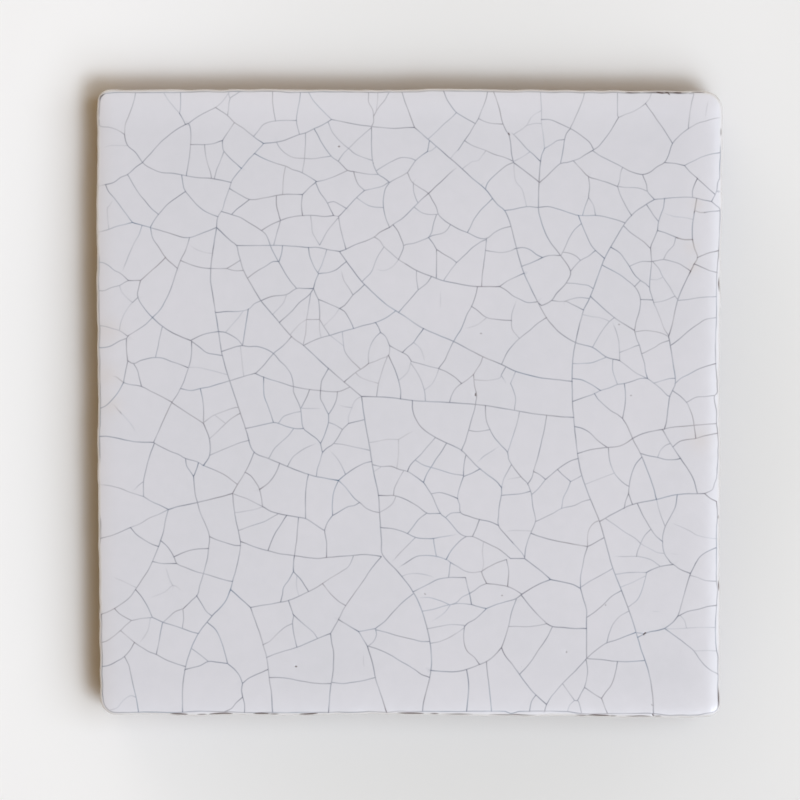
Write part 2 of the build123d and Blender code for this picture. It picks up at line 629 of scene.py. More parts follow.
562,683 567,690 574,700
545,705 544,711
581,587 589,581 600,575 612,568
606,642 609,632 613,623 619,616 627,611
574,700 577,700 579,704 581,712
617,573 630,572 646,572
690,575 697,577 705,580 715,581
646,572 644,581 641,591 637,599 630,605 627,607
635,632 644,631
""",
    # Hairlines that hold next to no ink, many of them ending inside a cell.
    Grade.HAIR: """\
104,147 110,145 120,145 128,145
163,93 168,100 174,107 179,113
215,107 220,103 225,97 230,92
229,98 228,93 229,91
333,215 338,216
377,101 375,111
458,149 454,153 451,157
485,151 481,156 478,160 472,161 463,167
484,182 480,185
513,163 514,175 516,182 521,188 524,197 526,206
540,92 541,110 541,123 543,137 544,148
540,110 534,114 530,118 526,125 521,129 514,133
526,125 534,123 541,123
513,161 521,157 528,153
427,151 431,150 435,147
645,103 649,98 651,92
708,100 706,108 705,117
664,213 674,216 684,217 692,219
95,186 105,184
112,200 109,205 107,207 107,215 108,228
716,191 720,191
119,285 121,291 125,296 132,302
132,302 127,308 123,315 120,323 119,329
190,245 196,249 205,252 212,253
243,310 238,317 231,325 225,331
240,346 241,356 242,366 243,375
187,367 198,367 211,370 228,374
286,294 283,302 278,308 272,314
319,319 319,328 320,336
306,319 300,323 295,328 291,333
339,308 334,315 329,320 324,325
376,269 384,270 391,267 395,263 398,259
411,360 408,370 403,376 398,380
355,372 359,376 368,380 378,383
361,396 357,398 354,401 351,408 348,416 348,423
330,336 341,346
486,318 479,323 472,326 464,328
440,291 440,298 440,308
414,343 419,347 422,353 424,361
438,369 436,375 431,384 426,389
475,379 484,380 494,379 500,377 501,374
582,314 590,316 599,317 605,319 609,321
650,279 657,279 662,277
120,412 124,416 130,423 135,431
215,416 220,419 225,423
235,512 243,511 254,509 262,507
301,408 311,408 321,408
351,407 343,406 338,404
369,442 376,441 386,439 398,439
398,439 398,453 397,466
374,471 381,468
399,438 408,433 413,431
506,479 512,478 521,476
506,531 512,530 522,530 530,530
482,543 482,551 483,565 481,570
584,484 597,479 612,474
672,523 680,526 690,531 697,535 712,538
670,553 677,554
640,543 649,548 657,552 664,553
150,619 148,628 144,636 139,642
110,709 117,707 120,703 125,698 131,695 136,697
151,597 165,591 173,585 181,590
165,567 170,581 173,586
113,577 123,581 134,586
295,576 296,586 298,595
363,654 363,662 364,667
401,576 406,574 413,573 424,574 434,577
450,604 445,611 439,616 431,621
665,628 680,628 697,627 715,627
680,616 684,620 686,627
694,650 705,650 718,650
622,586 634,581 644,575
651,611 659,611
574,701 569,705 567,711
""",
    # The line where the glaze has parted all round the rolled lip.
    Grade.RIM: """\
99,98 105,93 140,92 180,92 200,91 240,90 270,90 290,92 335,91 380,92 400,90 450,90 500,91 540,91 590,92 620,91 \
650,92 680,92 690,93
721,142 720,152 720,175 717,183 716,191 711,201
711,201 716,205 720,209 719,246 717,265 716,290 716,315 715,345 715,355 716,375 718,391 714,395 714,400 716,411 \
716,423 718,433 719,439 718,452 717,466 716,478 714,483 712,489 709,491 704,493
716,501 717,515 716,530 716,555 716,580 717,589 716,605 715,627 716,649 719,662 719,705 714,711 705,713 695,715 \
670,715 652,713 625,713 600,713 580,713 565,711 520,711 510,713 505,711 460,711 410,711 395,711 380,713 365,712 \
345,712 310,712 275,712 245,712 215,711 190,711 180,712 150,712 125,712 110,711 104,704 102,694
102,694 101,672 101,639 100,612
99,546 99,528 99,514
98,462 98,440 98,395 97,345 97,300 97,252
97,120 98,110 99,98
""",
    # Chips along the lip where the dark clay shows, with the shade in them painted in, as the pieces of the edge
    # that they cover.
    Grade.CHIP: """\
169,715 177,715 188,714
208,714 220,714 233,714
252,714 261,714 270,714
298,715 307,715 318,715
396,714 404,714 414,714 424,715
586,716 598,716 610,716
654,91 659,92 665,93
663,93 666,92 670,91
666,92 668,93 670,95
672,91 677,92 683,92
""",
    # Fainter scuffs along the lip where the glaze is only worn thin, and painted shade: the dark line along the
    # outer edge of the lip.
    Grade.SCUFF_AND_SHADE: """\
196,715 201,714 207,714
268,714 274,714 279,715
429,714 434,714 439,715
444,714 456,715 473,715
488,716 500,716 518,716 537,715
574,716 580,716 588,716
608,716 617,716
624,716 636,716 652,717
653,718 662,718
628,91 634,92 641,92
640,90 655,89 672,89 690,90
719,514 719,519
98,100 100,96 105,93
624,90 629,89 634,90
690,90 697,90 705,92
721,127 721,136
720,276 720,284 720,292
719,579 719,591
719,685 719,697 719,708
""",
    # Iron specks in the glaze, each as the two ends of its longest way across.
    Grade.SPECK: """\
338,146 339,146
295,666 296,666
508,133 509,134
475,393 475,395
643,634 645,632
652,714 653,715
""",
    # Fainter specks that lie deeper in the glaze.
    Grade.FLECK: """\
480,333 481,333
630,395 631,395
618,324 619,324
566,651 566,652
605,604 605,605
424,593 425,594
501,595 502,595
651,704 652,705
""",
    # Cracks that have taken up rust from the clay.
    Grade.RUST: """\
696,199 695,205 694,211
676,237 684,239 692,239
692,239 694,248 697,257 694,263 690,271
""",
    # The same where only a trace of it shows.
    Grade.TINGE: """\
694,210 700,212 704,212
111,376 115,376 119,379 123,382
112,404 115,406 118,410 120,412
""",
}

# Soft warm stains on the face, as x,y and the radius that they fade over.
STAINS = (
    (110, 330, 12), (108, 375, 12), (112, 405, 10), (700, 440, 12), (697, 204, 6), (690, 247, 6), (693, 267, 6),
)


class Mark(Enum):
    """Painted masks that the glaze reads from its mesh.

    Attributes:
        INK: ink in the cracks.
        CLAY: brown of the clay, in chips, specks and rusty cracks, with painted shade in the chips and along the
            lip's outer edge.
        LIP: where the glaze runs thin, over the lip and down the sides.
        POOL: painted highlight, the glaze painted lighter inside the lip along the right side, the top and the
            bottom, where the light falls.
        WARM: soft stains, and painted warm shade along the left edge.
    """

    INK = "ink"
    CLAY = "bare_clay"
    LIP = "thin_lip"
    POOL = "pooled_glaze"
    WARM = "warm_stain"


@dataclass(frozen=True)
class PictureFrame:
    """Where the 800 x 800 picture frame lies on the face.

    Attributes:
        scale: pixels to a millimetre of the face.
        centre_x: column of the origin, counted from the middle of the first pixel.
        centre_y: row of the origin, counted in the same way.
        width: pixels across the frame.
    """

    scale: float = 4.81
    centre_x: float = 409.5
    centre_y: float = 402.7
    width: int = 800

    def place(self, x: float, y: float) -> Vector:
        """The point of the face, in millimetres, that a pixel looks at."""
        return Vector(((x - self.centre_x) / self.scale, (self.centre_y - y) / self.scale))

    def read(self, trace: str) -> list[Vector]:
        """The points of one trace, in millimetres."""
        pairs = (pair.split(",") for pair in trace.split())
        return [self.place(float(x), float(y)) for x, y in pairs]

    def middle(self) -> Vector:
        """The point of the face under the middle of the frame."""
        half = (self.width - 1) / 2
        return self.place(half, half)

    def span(self) -> float:
        """Width of the frame on the face, in millimetres."""
        return self.width / self.scale


PICTURE = PictureFrame()


def select_only(piece: bpy.types.Object) -> None:
    """Makes one object the only one that the operators act on.

    Args:
        piece: the object to select and make active.
    """
    if bpy.context.object and bpy.context.object.mode != "OBJECT":
        bpy.ops.object.mode_set(mode="OBJECT")
    bpy.ops.object.select_all(action="DESELECT")
    piece.select_set(True)
    bpy.context.view_layer.objects.active = piece


def add_object(name: str, data: bpy.types.ID) -> bpy.types.Object:
    """Puts a new object that holds some data into the scene."""
    made = bpy.data.objects.new(name, data)
    bpy.context.scene.collection.objects.link(made)
    return made


def lookup(points: list[Vector]) -> KDTree:
    """A tree that finds the nearest of some points, by its number in their list."""
    tree = KDTree(len(points))
    for number, point in enumerate(points):
        tree.insert(point.to_3d(), number)
    tree.balance()
    return tree


def soft_step(low: float, high: float, value: float) -> float:
    """A smooth rise from 0 at low to 1 at high.

    Args:
        low: value where the rise starts.
        high: value where it ends.
        value: value to place on the rise.

    Returns:
        The share of the rise, from 0 to 1.
    """
    share = min(1.0, max(0.0, (value - low) / (high - low)))
    return share * share * (3.0 - 2.0 * share)


def wander(x: float, y: float, z: float = 0.0) -> float:
    """Smooth seeded noise from about -1 to 1, with a wavelength of about one."""
    return noise.noise(Vector((x, y, z)), noise_basis="PERLIN_ORIGINAL")


def near_segment(point: Vector, ends: Segment) -> tuple[float, float]:
    """How a point lies to a straight piece of a line.

    Args:
        point: the point, in the plane.
        ends: the two ends of the piece.

    Returns:
        The distance to the piece and the share of its length where it is nearest.
    """
    if (ends[1] - ends[0]).length_squared < POINT_LIKE:
        return (point - ends[0]).length, 0.0
    _, share = intersect_point_line(point, ends[0], ends[1])
    share = min(1.0, max(0.0, share))
    return (point - ends[0].lerp(ends[1], share)).length, share


@dataclass(frozen=True)
class Waver:
    """One wave of seeded noise over the tile.

    Attributes:
        length: length of the wave, in millimetres.
        seed: layer of the noise that it is taken from.
        share: how much it counts.
    """

    length: float
    seed: float
    share: float = 1.0

    def at(self, point: Vector) -> float:
        """How high the wave stands at a point, from about -share to share."""
        return self.share * wander(point.x / self.length, point.y / self.length, self.seed)


@dataclass(frozen=True)
class EdgeSection:
    """Section of the tile through its edge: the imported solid's, with the lip tighter where the glaze beads.

    Attributes:
        thickness: height of the face.
        shoulder_width: how far in the face starts to fall.
        shoulder_drop: how far it falls by the edge.
        lip_radius: radius that the lip is rolled to.
        bevel_width: how far the back is set in.
        bevel_height: height where the bevel meets the land.
        bevel_blend: half of the height that the bevel turns upright over.
        settling_rounds: rounds in which the meeting of lip and shoulder settles.
    """

    thickness: float = 11.0
    shoulder_width: float = 3.5
    shoulder_drop: float = 0.35
    lip_radius: float = 0.65
    bevel_width: float = 1.6
    bevel_height: float = 6.0
    bevel_blend: float = 0.41
    settling_rounds: int = 20

    @cached_property
    def lip_reach(self) -> float:
        """How far in the roll of the lip meets the shoulder."""
        reach = self.lip_radius
        for _ in range(self.settling_rounds):
            reach = self.lip_radius * (1.0 - math.sin(math.atan(self._slope(reach))))
        return reach

    @cached_property
    def lip_centre(self) -> float:
        """Height of the centre of the roll, and so of the top of the upright land."""
        fall = math.atan(self._slope(self.lip_reach))
        return self._shoulder(self.lip_reach) - self.lip_radius * math.cos(fall)

    def _shoulder(self, inset: float) -> float:
        """Height of the shoulder at a distance in from the edge."""
        share = max(0.0, 1.0 - inset / self.shoulder_width)
        return self.thickness - self.shoulder_drop * share * share

    def _slope(self, inset: float) -> float:
        """Slope of the shoulder at a distance in from the edge."""
        return 2.0 * self.shoulder_drop / self.shoulder_width * max(0.0, 1.0 - inset / self.shoulder_width)

    def height(self, inset: float) -> float:
        """Height of the glazed face at a distance in from the edge."""
        if inset >= self.lip_reach:
            return self._shoulder(inset)
        across = self.lip_radius - max(0.0, inset)
        return self.lip_centre + math.sqrt(self.lip_radius**2 - across**2)

    def setback(self, height: float) -> float:
        """How far in the side lies at a height above the back."""
        slope = self.bevel_width / self.bevel_height
        below = self.bevel_height - height
        if below <= -self.bevel_blend:
            return 0.0
        if below >= self.bevel_blend:
            return slope * below
        return slope * (below + self.bevel_blend) ** 2 / (4.0 * self.bevel_blend)


@dataclass
class CutEdge:
    """The wandering line that the slab is cut to, as even stations round the tile.

    Attributes:
        node: node of the frame that gives the line.
        slice_height: height of the upright land where the node is sliced.
        step: spacing of the stations.
        ripple: depth of the small hollows along the cut.
        mean_hollow: share of that depth where the waves are level.
        hollows: the long and the short wave of the hollows.
        facing_span: stations to either side that a direction is taken over.
        weld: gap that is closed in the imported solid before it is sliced, in metres.
        points: the stations, anticlockwise from above.
        normals: directions out of the tile at the stations.
        sides: the side of the tile that each station lies on, anticlockwise from the bottom.
    """

    node: str = "tile"
    slice_height: float = 8.4
    step: float = 0.8
    ripple: float = 0.20
    mean_hollow: float = 0.4
    hollows: tuple[Waver, Waver] = (Waver(3.4, 21.0, 0.8), Waver(1.8, 23.0, 0.35))
    facing_span: int = 2
    weld: float = 1e-7
    points: list[Vector] = field(default_factory=list)
    normals: list[Vector] = field(default_factory=list)
    sides: list[int] = field(default_factory=list)
    _tree: KDTree | None = field(default=None, init=False, repr=False)

    def trace(self) -> None:
        """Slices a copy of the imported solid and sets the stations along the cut."""
        self._resample(self._slice())
        self._face_out()
        self._hollow()
        self._face_out()
        self._tree = lookup(self.points)
        # Quarter turns from the bottom left corner count the sides
        for point in self.points:
            turn = (math.atan2(point.y, point.x) + 0.75 * math.pi) % (2.0 * math.pi)
            self.sides.append(min(3, int(turn / (0.5 * math.pi))))

    def _slice(self) -> list[Vector]:
        """The cut through the node, as the points of a closed line in millimetres."""
        copy = add_object("edge_slice", frame["nodes"][self.node].data.copy())
        select_only(copy)
        bpy.ops.object.mode_set(mode="EDIT")
        bpy.ops.mesh.select_all(action="SELECT")
        bpy.ops.mesh.remove_doubles(threshold=self.weld)
        bpy.ops.mesh.select_all(action="SELECT")
        bpy.ops.mesh.bisect(
            plane_co=(0.0, 0.0, self.slice_height * MM),
            plane_no=(0.0, 0.0, 1.0),
            clear_inner=True,
            clear_outer=True,
        )
        bpy.ops.object.mode_set(mode="OBJECT")
        mesh = copy.data
        beside: dict[int, list[int]] = {}
        for edge in mesh.edges:
            first, second = edge.vertices
            beside.setdefault(first, []).append(second)
            beside.setdefault(second, []).append(first)
        start = min(beside, key=lambda index: (mesh.vertices[index].co.y, mesh.vertices[index].co.x))
        walk = [start]
        after = max(beside[start], key=lambda index: mesh.vertices[index].co.x)
        while after != start:
            walk.append(after)
            after = next((index for index in beside[after] if index != walk[-2]), start)
        line = [mesh.vertices[index].co.to_2d() / MM for index in walk]
        bpy.data.objects.remove(copy)
        bpy.data.meshes.remove(mesh)
        return line

    def _resample(self, line: list[Vector]) -> None:
        """Sets even stations along a closed line."""
        lengths = [(line[(index + 1) % len(line)] - point).length for index, point in enumerate(line)]
        count = round(sum(lengths) / self.step)
        pace = sum(lengths) / count
        index, passed = 0, 0.0
        for station in range(count):
            while passed + lengths[index] < station * pace:
                passed += lengths[index]
                index += 1
            share = (station * pace - passed) / lengths[index]
            self.points.append(line[index].lerp(line[(index + 1) % len(line)], share))

    def _face_out(self) -> None:
        """Sets the directions out of the tile at the stations."""
        count = len(self.points)
        self.normals = []
        for index in range(count):
            along = self.points[(index + self.facing_span) % count] - self.points[index - self.facing_span]
            self.normals.append(Vector((along.y, -along.x)).normalized())

    def _hollow(self) -> None:
        """Moves the stations in by the small hollows that a wire drawn by hand leaves."""
        long, short = self.hollows
        for index, (point, normal) in enumerate(zip(self.points, self.normals)):
            depth = self.ripple * max(0.0, self.mean_hollow + long.at(point) + short.at(point))
            self.points[index] = point - normal * depth

    def inset(self, point: Vector) -> tuple[float, int]:
        """How far inside the cut a point lies.

        Args:
            point: the point, in millimetres.

        Returns:
            The distance in from the cut, below zero outside, and the nearest station.
        """
        _, near, _ = self._tree.find(point.to_3d())
        count = len(self.points)
        before, after = self.points[near - 1], self.points[(near + 1) % count]
        here = self.points[near]
        reach = min(near_segment(point, (before, here))[0], near_segment(point, (here, after))[0])
        inside = (point - here).dot(self.normals[near]) <= 0.0
        return (reach if inside else -reach), near

    def keep_inside(self, point: Vector, least: float) -> Vector:
        """A point moved in, where it has to be, until it lies at least that far inside the cut."""
        reach, near = self.inset(point)
        return point if reach >= least else point - self.normals[near] * (least - reach)

    def ring(self, inset: float) -> list[Vector]:
        """The stations moved in by one distance."""
        return [point - normal * inset for point, normal in zip(self.points, self.normals)]


@dataclass
class CrackLine:
    """One crack, chip or speck, drawn smooth.

    Attributes:
        grade: what the line is.
        points: its course over the face, in millimetres.
        shows: how much of it shows at each point.
        widths: its width at each point, in millimetres.
    """

    grade: Grade
    points: list[Vector]
    shows: list[float] = field(default_factory=list)
    widths: list[float] = field(default_factory=list)


@dataclass
class CrackNet:
    """The whole net of cracks in the glaze, with the chips and specks.

    Attributes:
        edge: the cut that the net stays inside.
        reach: how far an end may jump to meet the crack that it runs into.
        rim_reach: how far an end may run on to meet the parted line round the lip.
        step: spacing of the points along a drawn crack.
        quiver: how far a crack strays from its trace.
        least_inset: how near a crack may come to the cut.
        least_chip_inset: how near a chip may come to the cut.
        fade: length over which a loose end dies away.
        knot: how much more shows where a crack meets another.
        knot_reach: how far from the meeting that reaches.
        fade_start: where the fade of a loose end starts, as a share of its length.
        search: how far off along x or y a piece of a line may start and still be met.
        seed_step: how far apart the lines take their noise.
        layers: layers of the noise that stray along x, stray along y and change how much shows.
        quiver_length: length over which a crack strays one way and back.
        patch_length: length over which more and less of a line shows.
        patchiness: how much more and less that is.
        lens_power: how pointed a chip is; a smaller power is blunter.
        lens_end: share of its width that a chip keeps at its ends.
        rail_shares: how far across the width of a line each of its rails lies.
        lines: the drawn lines.
    """

    edge: CutEdge
    reach: float = 0.55
    rim_reach: float = 2.0
    step: float = 0.55
    quiver: float = 0.05
    least_inset: float = 0.50
    least_chip_inset: float = 0.35
    fade: float = 1.6
    knot: float = 0.35
    knot_reach: float = 0.8
    fade_start: float = -0.2
    search: float = 20.0
    seed_step: float = 3.7
    layers: tuple[float, float, float] = (0.0, 9.0, 4.0)
    quiver_length: float = 1.7
    patch_length: float = 3.1
    patchiness: float = 0.45
    lens_power: float = 0.6
    lens_end: float = 0.4
    rail_shares: tuple[float, float, float] = (-0.5, 0.0, 0.5)
    lines: list[CrackLine] = field(default_factory=list)
    _places: list[tuple[CrackLine, int]] = field(default_factory=list, init=False, repr=False)
    _tree: KDTree | None = field(default=None, init=False, repr=False)

    def draw(self) -> None:
        """Reads the traces, joins them to each other and draws each as a smooth line."""
        raw = [(grade, PICTURE.read(trace)) for grade, traces in TRACES.items() for trace in traces.splitlines()]
        joined = self._join(raw)
        for (grade, points), ends in zip(raw, joined):
            self._draw_line(grade, points, ends)
        self._places = [(line, index) for line in self.lines for index in range(len(line.points))]
        self._tree = lookup([line.points[index] for line, index in self._places])

    def _join(self, raw: list[tuple[Grade, list[Vector]]]) -> list[tuple[bool, bool]]:
        """Moves the ends of the traces onto the cracks that they run into, or runs them on to the lip's line.

        Args:
            raw: the traces, whose ends are moved in place.

        Returns:
            For each trace, whether its first and its last end meet another crack.
        """
        pieces = [
            (number, (first, second))
            for number, (grade, points) in enumerate(raw)
            if not grade.shows_clay
            for first, second in zip(points, points[1:])
        ]
        rim = [piece for piece in pieces if raw[piece[0]][0] is Grade.RIM]
        met = []
        for number, (grade, points) in enumerate(raw):
            ends = [False, False]
            for which in () if grade.shows_clay else (0, -1):
                others = [ends_of for owner, ends_of in pieces if owner != number]
                spot = self._nearest(points[which], others, self.reach)
                if spot is not None:
                    points[which].xy = spot
                elif grade is not Grade.RIM:
                    spot = self._nearest(points[which], [ends_of for _, ends_of in rim], self.rim_reach)
                    if spot is not None:
                        points.insert(0 if which == 0 else len(points), spot)
                ends[which] = spot is not None
            met.append((ends[0], ends[1]))
        return met

    def _nearest(self, point: Vector, pieces: list[Segment], reach: float) -> Vector | None:
        """The spot on some pieces of line that lies nearest to a point.

        Args:
            point: the point, in millimetres.
            pieces: the straight pieces to look along.
            reach: how far to look.

        Returns:
            The spot, or nothing when no piece is within reach.
        """
        best, spot = reach, None
        for first, second in pieces:
            if max(abs(first.x - point.x), abs(first.y - point.y)) > self.search:
                continue
            away, share = near_segment(point, (first, second))
            if away < best:
                best, spot = away, first.lerp(second, share)
        return spot

    def _draw_line(self, grade: Grade, points: list[Vector], joined: tuple[bool, bool]) -> None:
        """Draws one trace as a smooth line with an even spacing.

        Args:
            grade: what the line is.
            points: the traced points.
            joined: whether the first and the last end meet another crack.
        """
        count = len(points)
        tangents = [
            (points[min(count - 1, index + 1)] - points[max(0, index - 1)]).normalized() for index in range(count)
        ]
        course: list[Vector] = [points[0].copy()]
        for index in range(count - 1):
            span = (points[index + 1] - points[index]).length
            handles = (
                points[index] + tangents[index] * span / 3.0,
                points[index + 1] - tangents[index + 1] * span / 3.0,
            )
            pieces = max(1, round(span / self.step)) + 1
            course += interpolate_bezier(points[index], *handles, points[index + 1], pieces)[1:]
        least = self.least_chip_inset if grade.shows_clay else self.least_inset
        seed = float(len(self.lines)) * self.seed_step
        total = sum((second - first).length for first, second in zip(course, course[1:]))
        across_x, across_y, strength = self.layers
        line, run = CrackLine(grade, []), 0.0
        for index, point in enumerate(course):
            if index:
                run += (point - course[index - 1]).length
            if 0 < index < len(course) - 1 and not grade.shows_clay:
                pace = run / self.quiver_length
                stray = Vector((wander(pace, seed, across_x), wander(pace, seed, across_y)))
                point = point + stray * self.quiver
            line.points.append(self.edge.keep_inside(point, least))
            shows = grade.strength * (1.0 + self.patchiness * wander(run / self.patch_length, seed, strength))
            lens = max(0.0, math.sin(math.pi * run / total)) ** self.lens_power if grade.is_lens else 1.0
            line.widths.append(grade.width * (self.lens_end + (1.0 - self.lens_end) * lens))
            shows *= lens
            if not grade.shows_clay:
                for meets, away in zip(joined, (run, total - run)):
                    if meets:
                        shows *= 1.0 + self.knot * math.exp(-((away / self.knot_reach) ** 2))
                    else:
                        shows *= soft_step(self.fade_start * self.fade, self.fade, away)
            line.shows.append(shows)
        self.lines.append(line)

    def rails(self) -> tuple[list[Vector], list[tuple[int, int]]]:
        """The middle and the two sides of every line, as points and the pieces between them."""
        points: list[Vector] = []
        pieces: list[tuple[int, int]] = []
        for line in self.lines:
            last = len(line.points) - 1
            starts = []
            for offset in self.rail_shares:
                starts.append(len(points))
                for index, point in enumerate(line.points):
                    along = line.points[min(last, index + 1)] - line.points[max(0, index - 1)]
                    across = Vector((-along.y, along.x)).normalized()
                    points.append(point + across * line.widths[index] * offset)
                pieces += [(starts[-1] + index, starts[-1] + index + 1) for index in range(last)]
            for end, inner in ((0, 1), (last, last - 1)) if line.grade.shows_clay else ():
                out = (line.points[end] - line.points[inner]).normalized()
                pieces += [(starts[0] + end, len(points)), (len(points), starts[2] + end)]
                points.append(line.points[end] + out * 0.5 * line.widths[end])
        return points, pieces

    def clear_of(self, point: Vector, room: float) -> bool:
        """Whether a point keeps that much room from every line."""
        _, _, away = self._tree.find(point.to_3d())
        return away > room

    def shows_at(self, point: Vector) -> tuple[float, float, float]:
        """How much ink and how much brown show at a point of the face, and how bare its clay is.

        Args:
            point: the point, in millimetres.

        Returns:
            The shares of ink, of brown and of bare clay, from 0 to 1.
        """
        ink, brown, bare = 0.0, 0.0, 0.0
        for _, number, _ in self._tree.find_range(point.to_3d(), self.step):
            line, index = self._places[number]
            for first in (index - 1, index):
                if not 0 <= first < len(line.points) - 1:
                    continue
                away, share = near_segment(point, (line.points[first], line.points[first + 1]))
                shows = line.shows[first] * (1.0 - share) + line.shows[first + 1] * share
                width = line.widths[first] * (1.0 - share) + line.widths[first + 1] * share
                shows *= max(0.0, 1.0 - away / (0.5 * width))
                if line.grade.is_brown:
                    brown = min(1.0, max(brown, shows))
                else:
                    ink = max(ink, shows)
                if line.grade.shows_clay:
                    bare = min(1.0, max(bare, shows))
        return ink, brown, bare


class NodeSheet:
    """A node tree that is filled in one node at a time."""

    def __init__(self, tree: bpy.types.NodeTree) -> None:
        """Starts from an empty tree."""
        self.tree = tree
        tree.nodes.clear()

    def add(self, kind: str, sockets: dict[str | int, object] | None = None, **settings: object) -> bpy.types.Node:
        """Adds a node, sets it up and links it.

        Args:
            kind: the node's type.
            sockets: values or other nodes' sockets, by the name or number of the input.
            settings: the node's own settings.

        Returns:
            The new node.
        """
        node = self.tree.nodes.new(kind)
        for name, value in settings.items():
            setattr(node, name, value)
        for key, value in (sockets or {}).items():
            if isinstance(value, bpy.types.NodeSocket):
                self.tree.links.new(value, node.inputs[key])
            else:
                node.inputs[key].default_value = value
        return node

    def mix(self, share: object, first: object, second: object, blend: str = "MIX") -> bpy.types.NodeSocket:
        """A colour between two others.

        Args:
            share: value or socket that says how much of the second shows.
            first: colour or socket under the other.
            second: colour or socket over it.
            blend: how the second goes over the first.

        Returns:
            The socket of the mixed colour.
        """
        # The node has sockets for each kind of data, and these are the ones for colours
        node = self.add("ShaderNodeMix", {0: share, 6: first, 7: second}, data_type="RGBA", blend_type=blend)
        return node.outputs[2]

    def math(self, operation: str, first: object, second: object = 0.0) -> bpy.types.NodeSocket:
        """The socket of a sum over one or two values or sockets."""
        return self.add("ShaderNodeMath", {0: first, 1: second}, operation=operation).outputs[0]

    def mask(self, mark: Mark) -> bpy.types.NodeSocket:
        """The socket of a mask that is painted on the mesh."""
        return self.add("ShaderNodeAttribute", attribute_name=mark.value).outputs["Fac"]

    def group(self, tree: bpy.types.NodeTree, sockets: dict[str | int, object]) -> bpy.types.NodeSocket:
        """Places a shared effect and gives the socket of what it puts out."""
        return self.add("ShaderNodeGroup", sockets, node_tree=tree).outputs[0]

    def bump(self, height: bpy.types.NodeSocket, strength: float, distance: float) -> bpy.types.NodeSocket:
        """The socket of a normal that is tilted by a height, at so much strength and so far in metres."""
        sockets = {"Strength": strength, "Distance": distance, "Height": height}
        return self.add("ShaderNodeBump", sockets).outputs[0]

    def surface(self, sockets: dict[str | int, object]) -> None:
        """Ends a material with a surface that takes these values or sockets."""
        shader = self.add("ShaderNodeBsdfPrincipled", sockets)
        self.add("ShaderNodeOutputMaterial", {"Surface": shader.outputs[0]})


def start_material(name: str) -> tuple[bpy.types.Material, NodeSheet, bpy.types.NodeSocket]:
    """Starts a material.

    Args:
        name: name of the material.

    Returns:
        The material, the sheet that it is filled on and the socket of a point's place on its object.
    """
    material = bpy.data.materials.new(name)
    material.use_nodes = True
    sheet = NodeSheet(material.node_tree)
    return material, sheet, sheet.add("ShaderNodeTexCoord").outputs["Object"]


def paint(red: int, green: int, blue: int) -> tuple[float, float, float, float]:
    """A colour as a shader takes it, from the values that a screen shows by the sRGB curve.

    Args:
        red: red on the screen, from 0 to 255.
        green: green on the screen.
        blue: blue on the screen.

    Returns:
        The linear colour with full alpha.
    """
    shares = [value / 255.0 for value in (red, green, blue)]
    linear = [share / 12.92 if share <= 0.04045 else ((share + 0.055) / 1.055) ** 2.4 for share in shares]
    return (linear[0], linear[1], linear[2], 1.0)


class SharedEffects:
    """Effects that the glaze and the clay both use, each a node group built once."""

    def __init__(self) -> None:
        """Builds the groups."""
        self.clouds = self._clouds()
        self.specks = self._specks()

    @staticmethod
    def _new(name: str, inputs: dict[str, float]) -> tuple[bpy.types.NodeTree, NodeSheet, bpy.types.Node]:
        """Starts a group that takes a vector and some values and puts out one mask.

        Args:
            name: name of the group.
            inputs: names of the values it takes, with what they are at first.

        Returns:
            The tree, the sheet it is filled on and the node of its inputs.
        """
        tree = bpy.data.node_groups.new(name, "ShaderNodeTree")
        tree.interface.new_socket("Vector", in_out="INPUT", socket_type="NodeSocketVector")
        for key, value in inputs.items():
            tree.interface.new_socket(key, in_out="INPUT", socket_type="NodeSocketFloat").default_value = value
        tree.interface.new_socket("Mask", in_out="OUTPUT", socket_type="NodeSocketFloat")
        sheet = NodeSheet(tree)
        return tree, sheet, sheet.add("NodeGroupInput")

    def _clouds(self) -> bpy.types.NodeTree:
        """Soft clouds of tone, from 0 to 1."""
        tree, sheet, takes = self._new("tone_clouds", {"Scale": 30.0, "Detail": 3.0})
        tone = sheet.add(
            "ShaderNodeTexNoise",
            {"Vector": takes.outputs["Vector"], "Scale": takes.outputs["Scale"], "Detail": takes.outputs["Detail"]},
        )
        spread = sheet.add("ShaderNodeMapRange", {"Value": tone.outputs[0], "From Min": 0.3, "From Max": 0.7})
        sheet.add("NodeGroupOutput", {"Mask": spread.outputs[0]})
        return tree

    def _specks(self) -> bpy.types.NodeTree:
        """Small round specks, 1 at the middle of each."""
        tree, sheet, takes = self._new("body_specks", {"Scale": 600.0, "Size": 0.2, "Share": 0.2})
        cells = sheet.add(
            "ShaderNodeTexVoronoi", {"Vector": takes.outputs["Vector"], "Scale": takes.outputs["Scale"]}
        )
        disc = sheet.math("LESS_THAN", cells.outputs["Distance"], takes.outputs["Size"])
        draw = sheet.add("ShaderNodeSeparateColor", {"Color": cells.outputs["Color"]})
        chosen = sheet.math("LESS_THAN", draw.outputs[0], takes.outputs["Share"])
        sheet.add("NodeGroupOutput", {"Mask": sheet.math("MULTIPLY", disc, chosen)})
        return tree


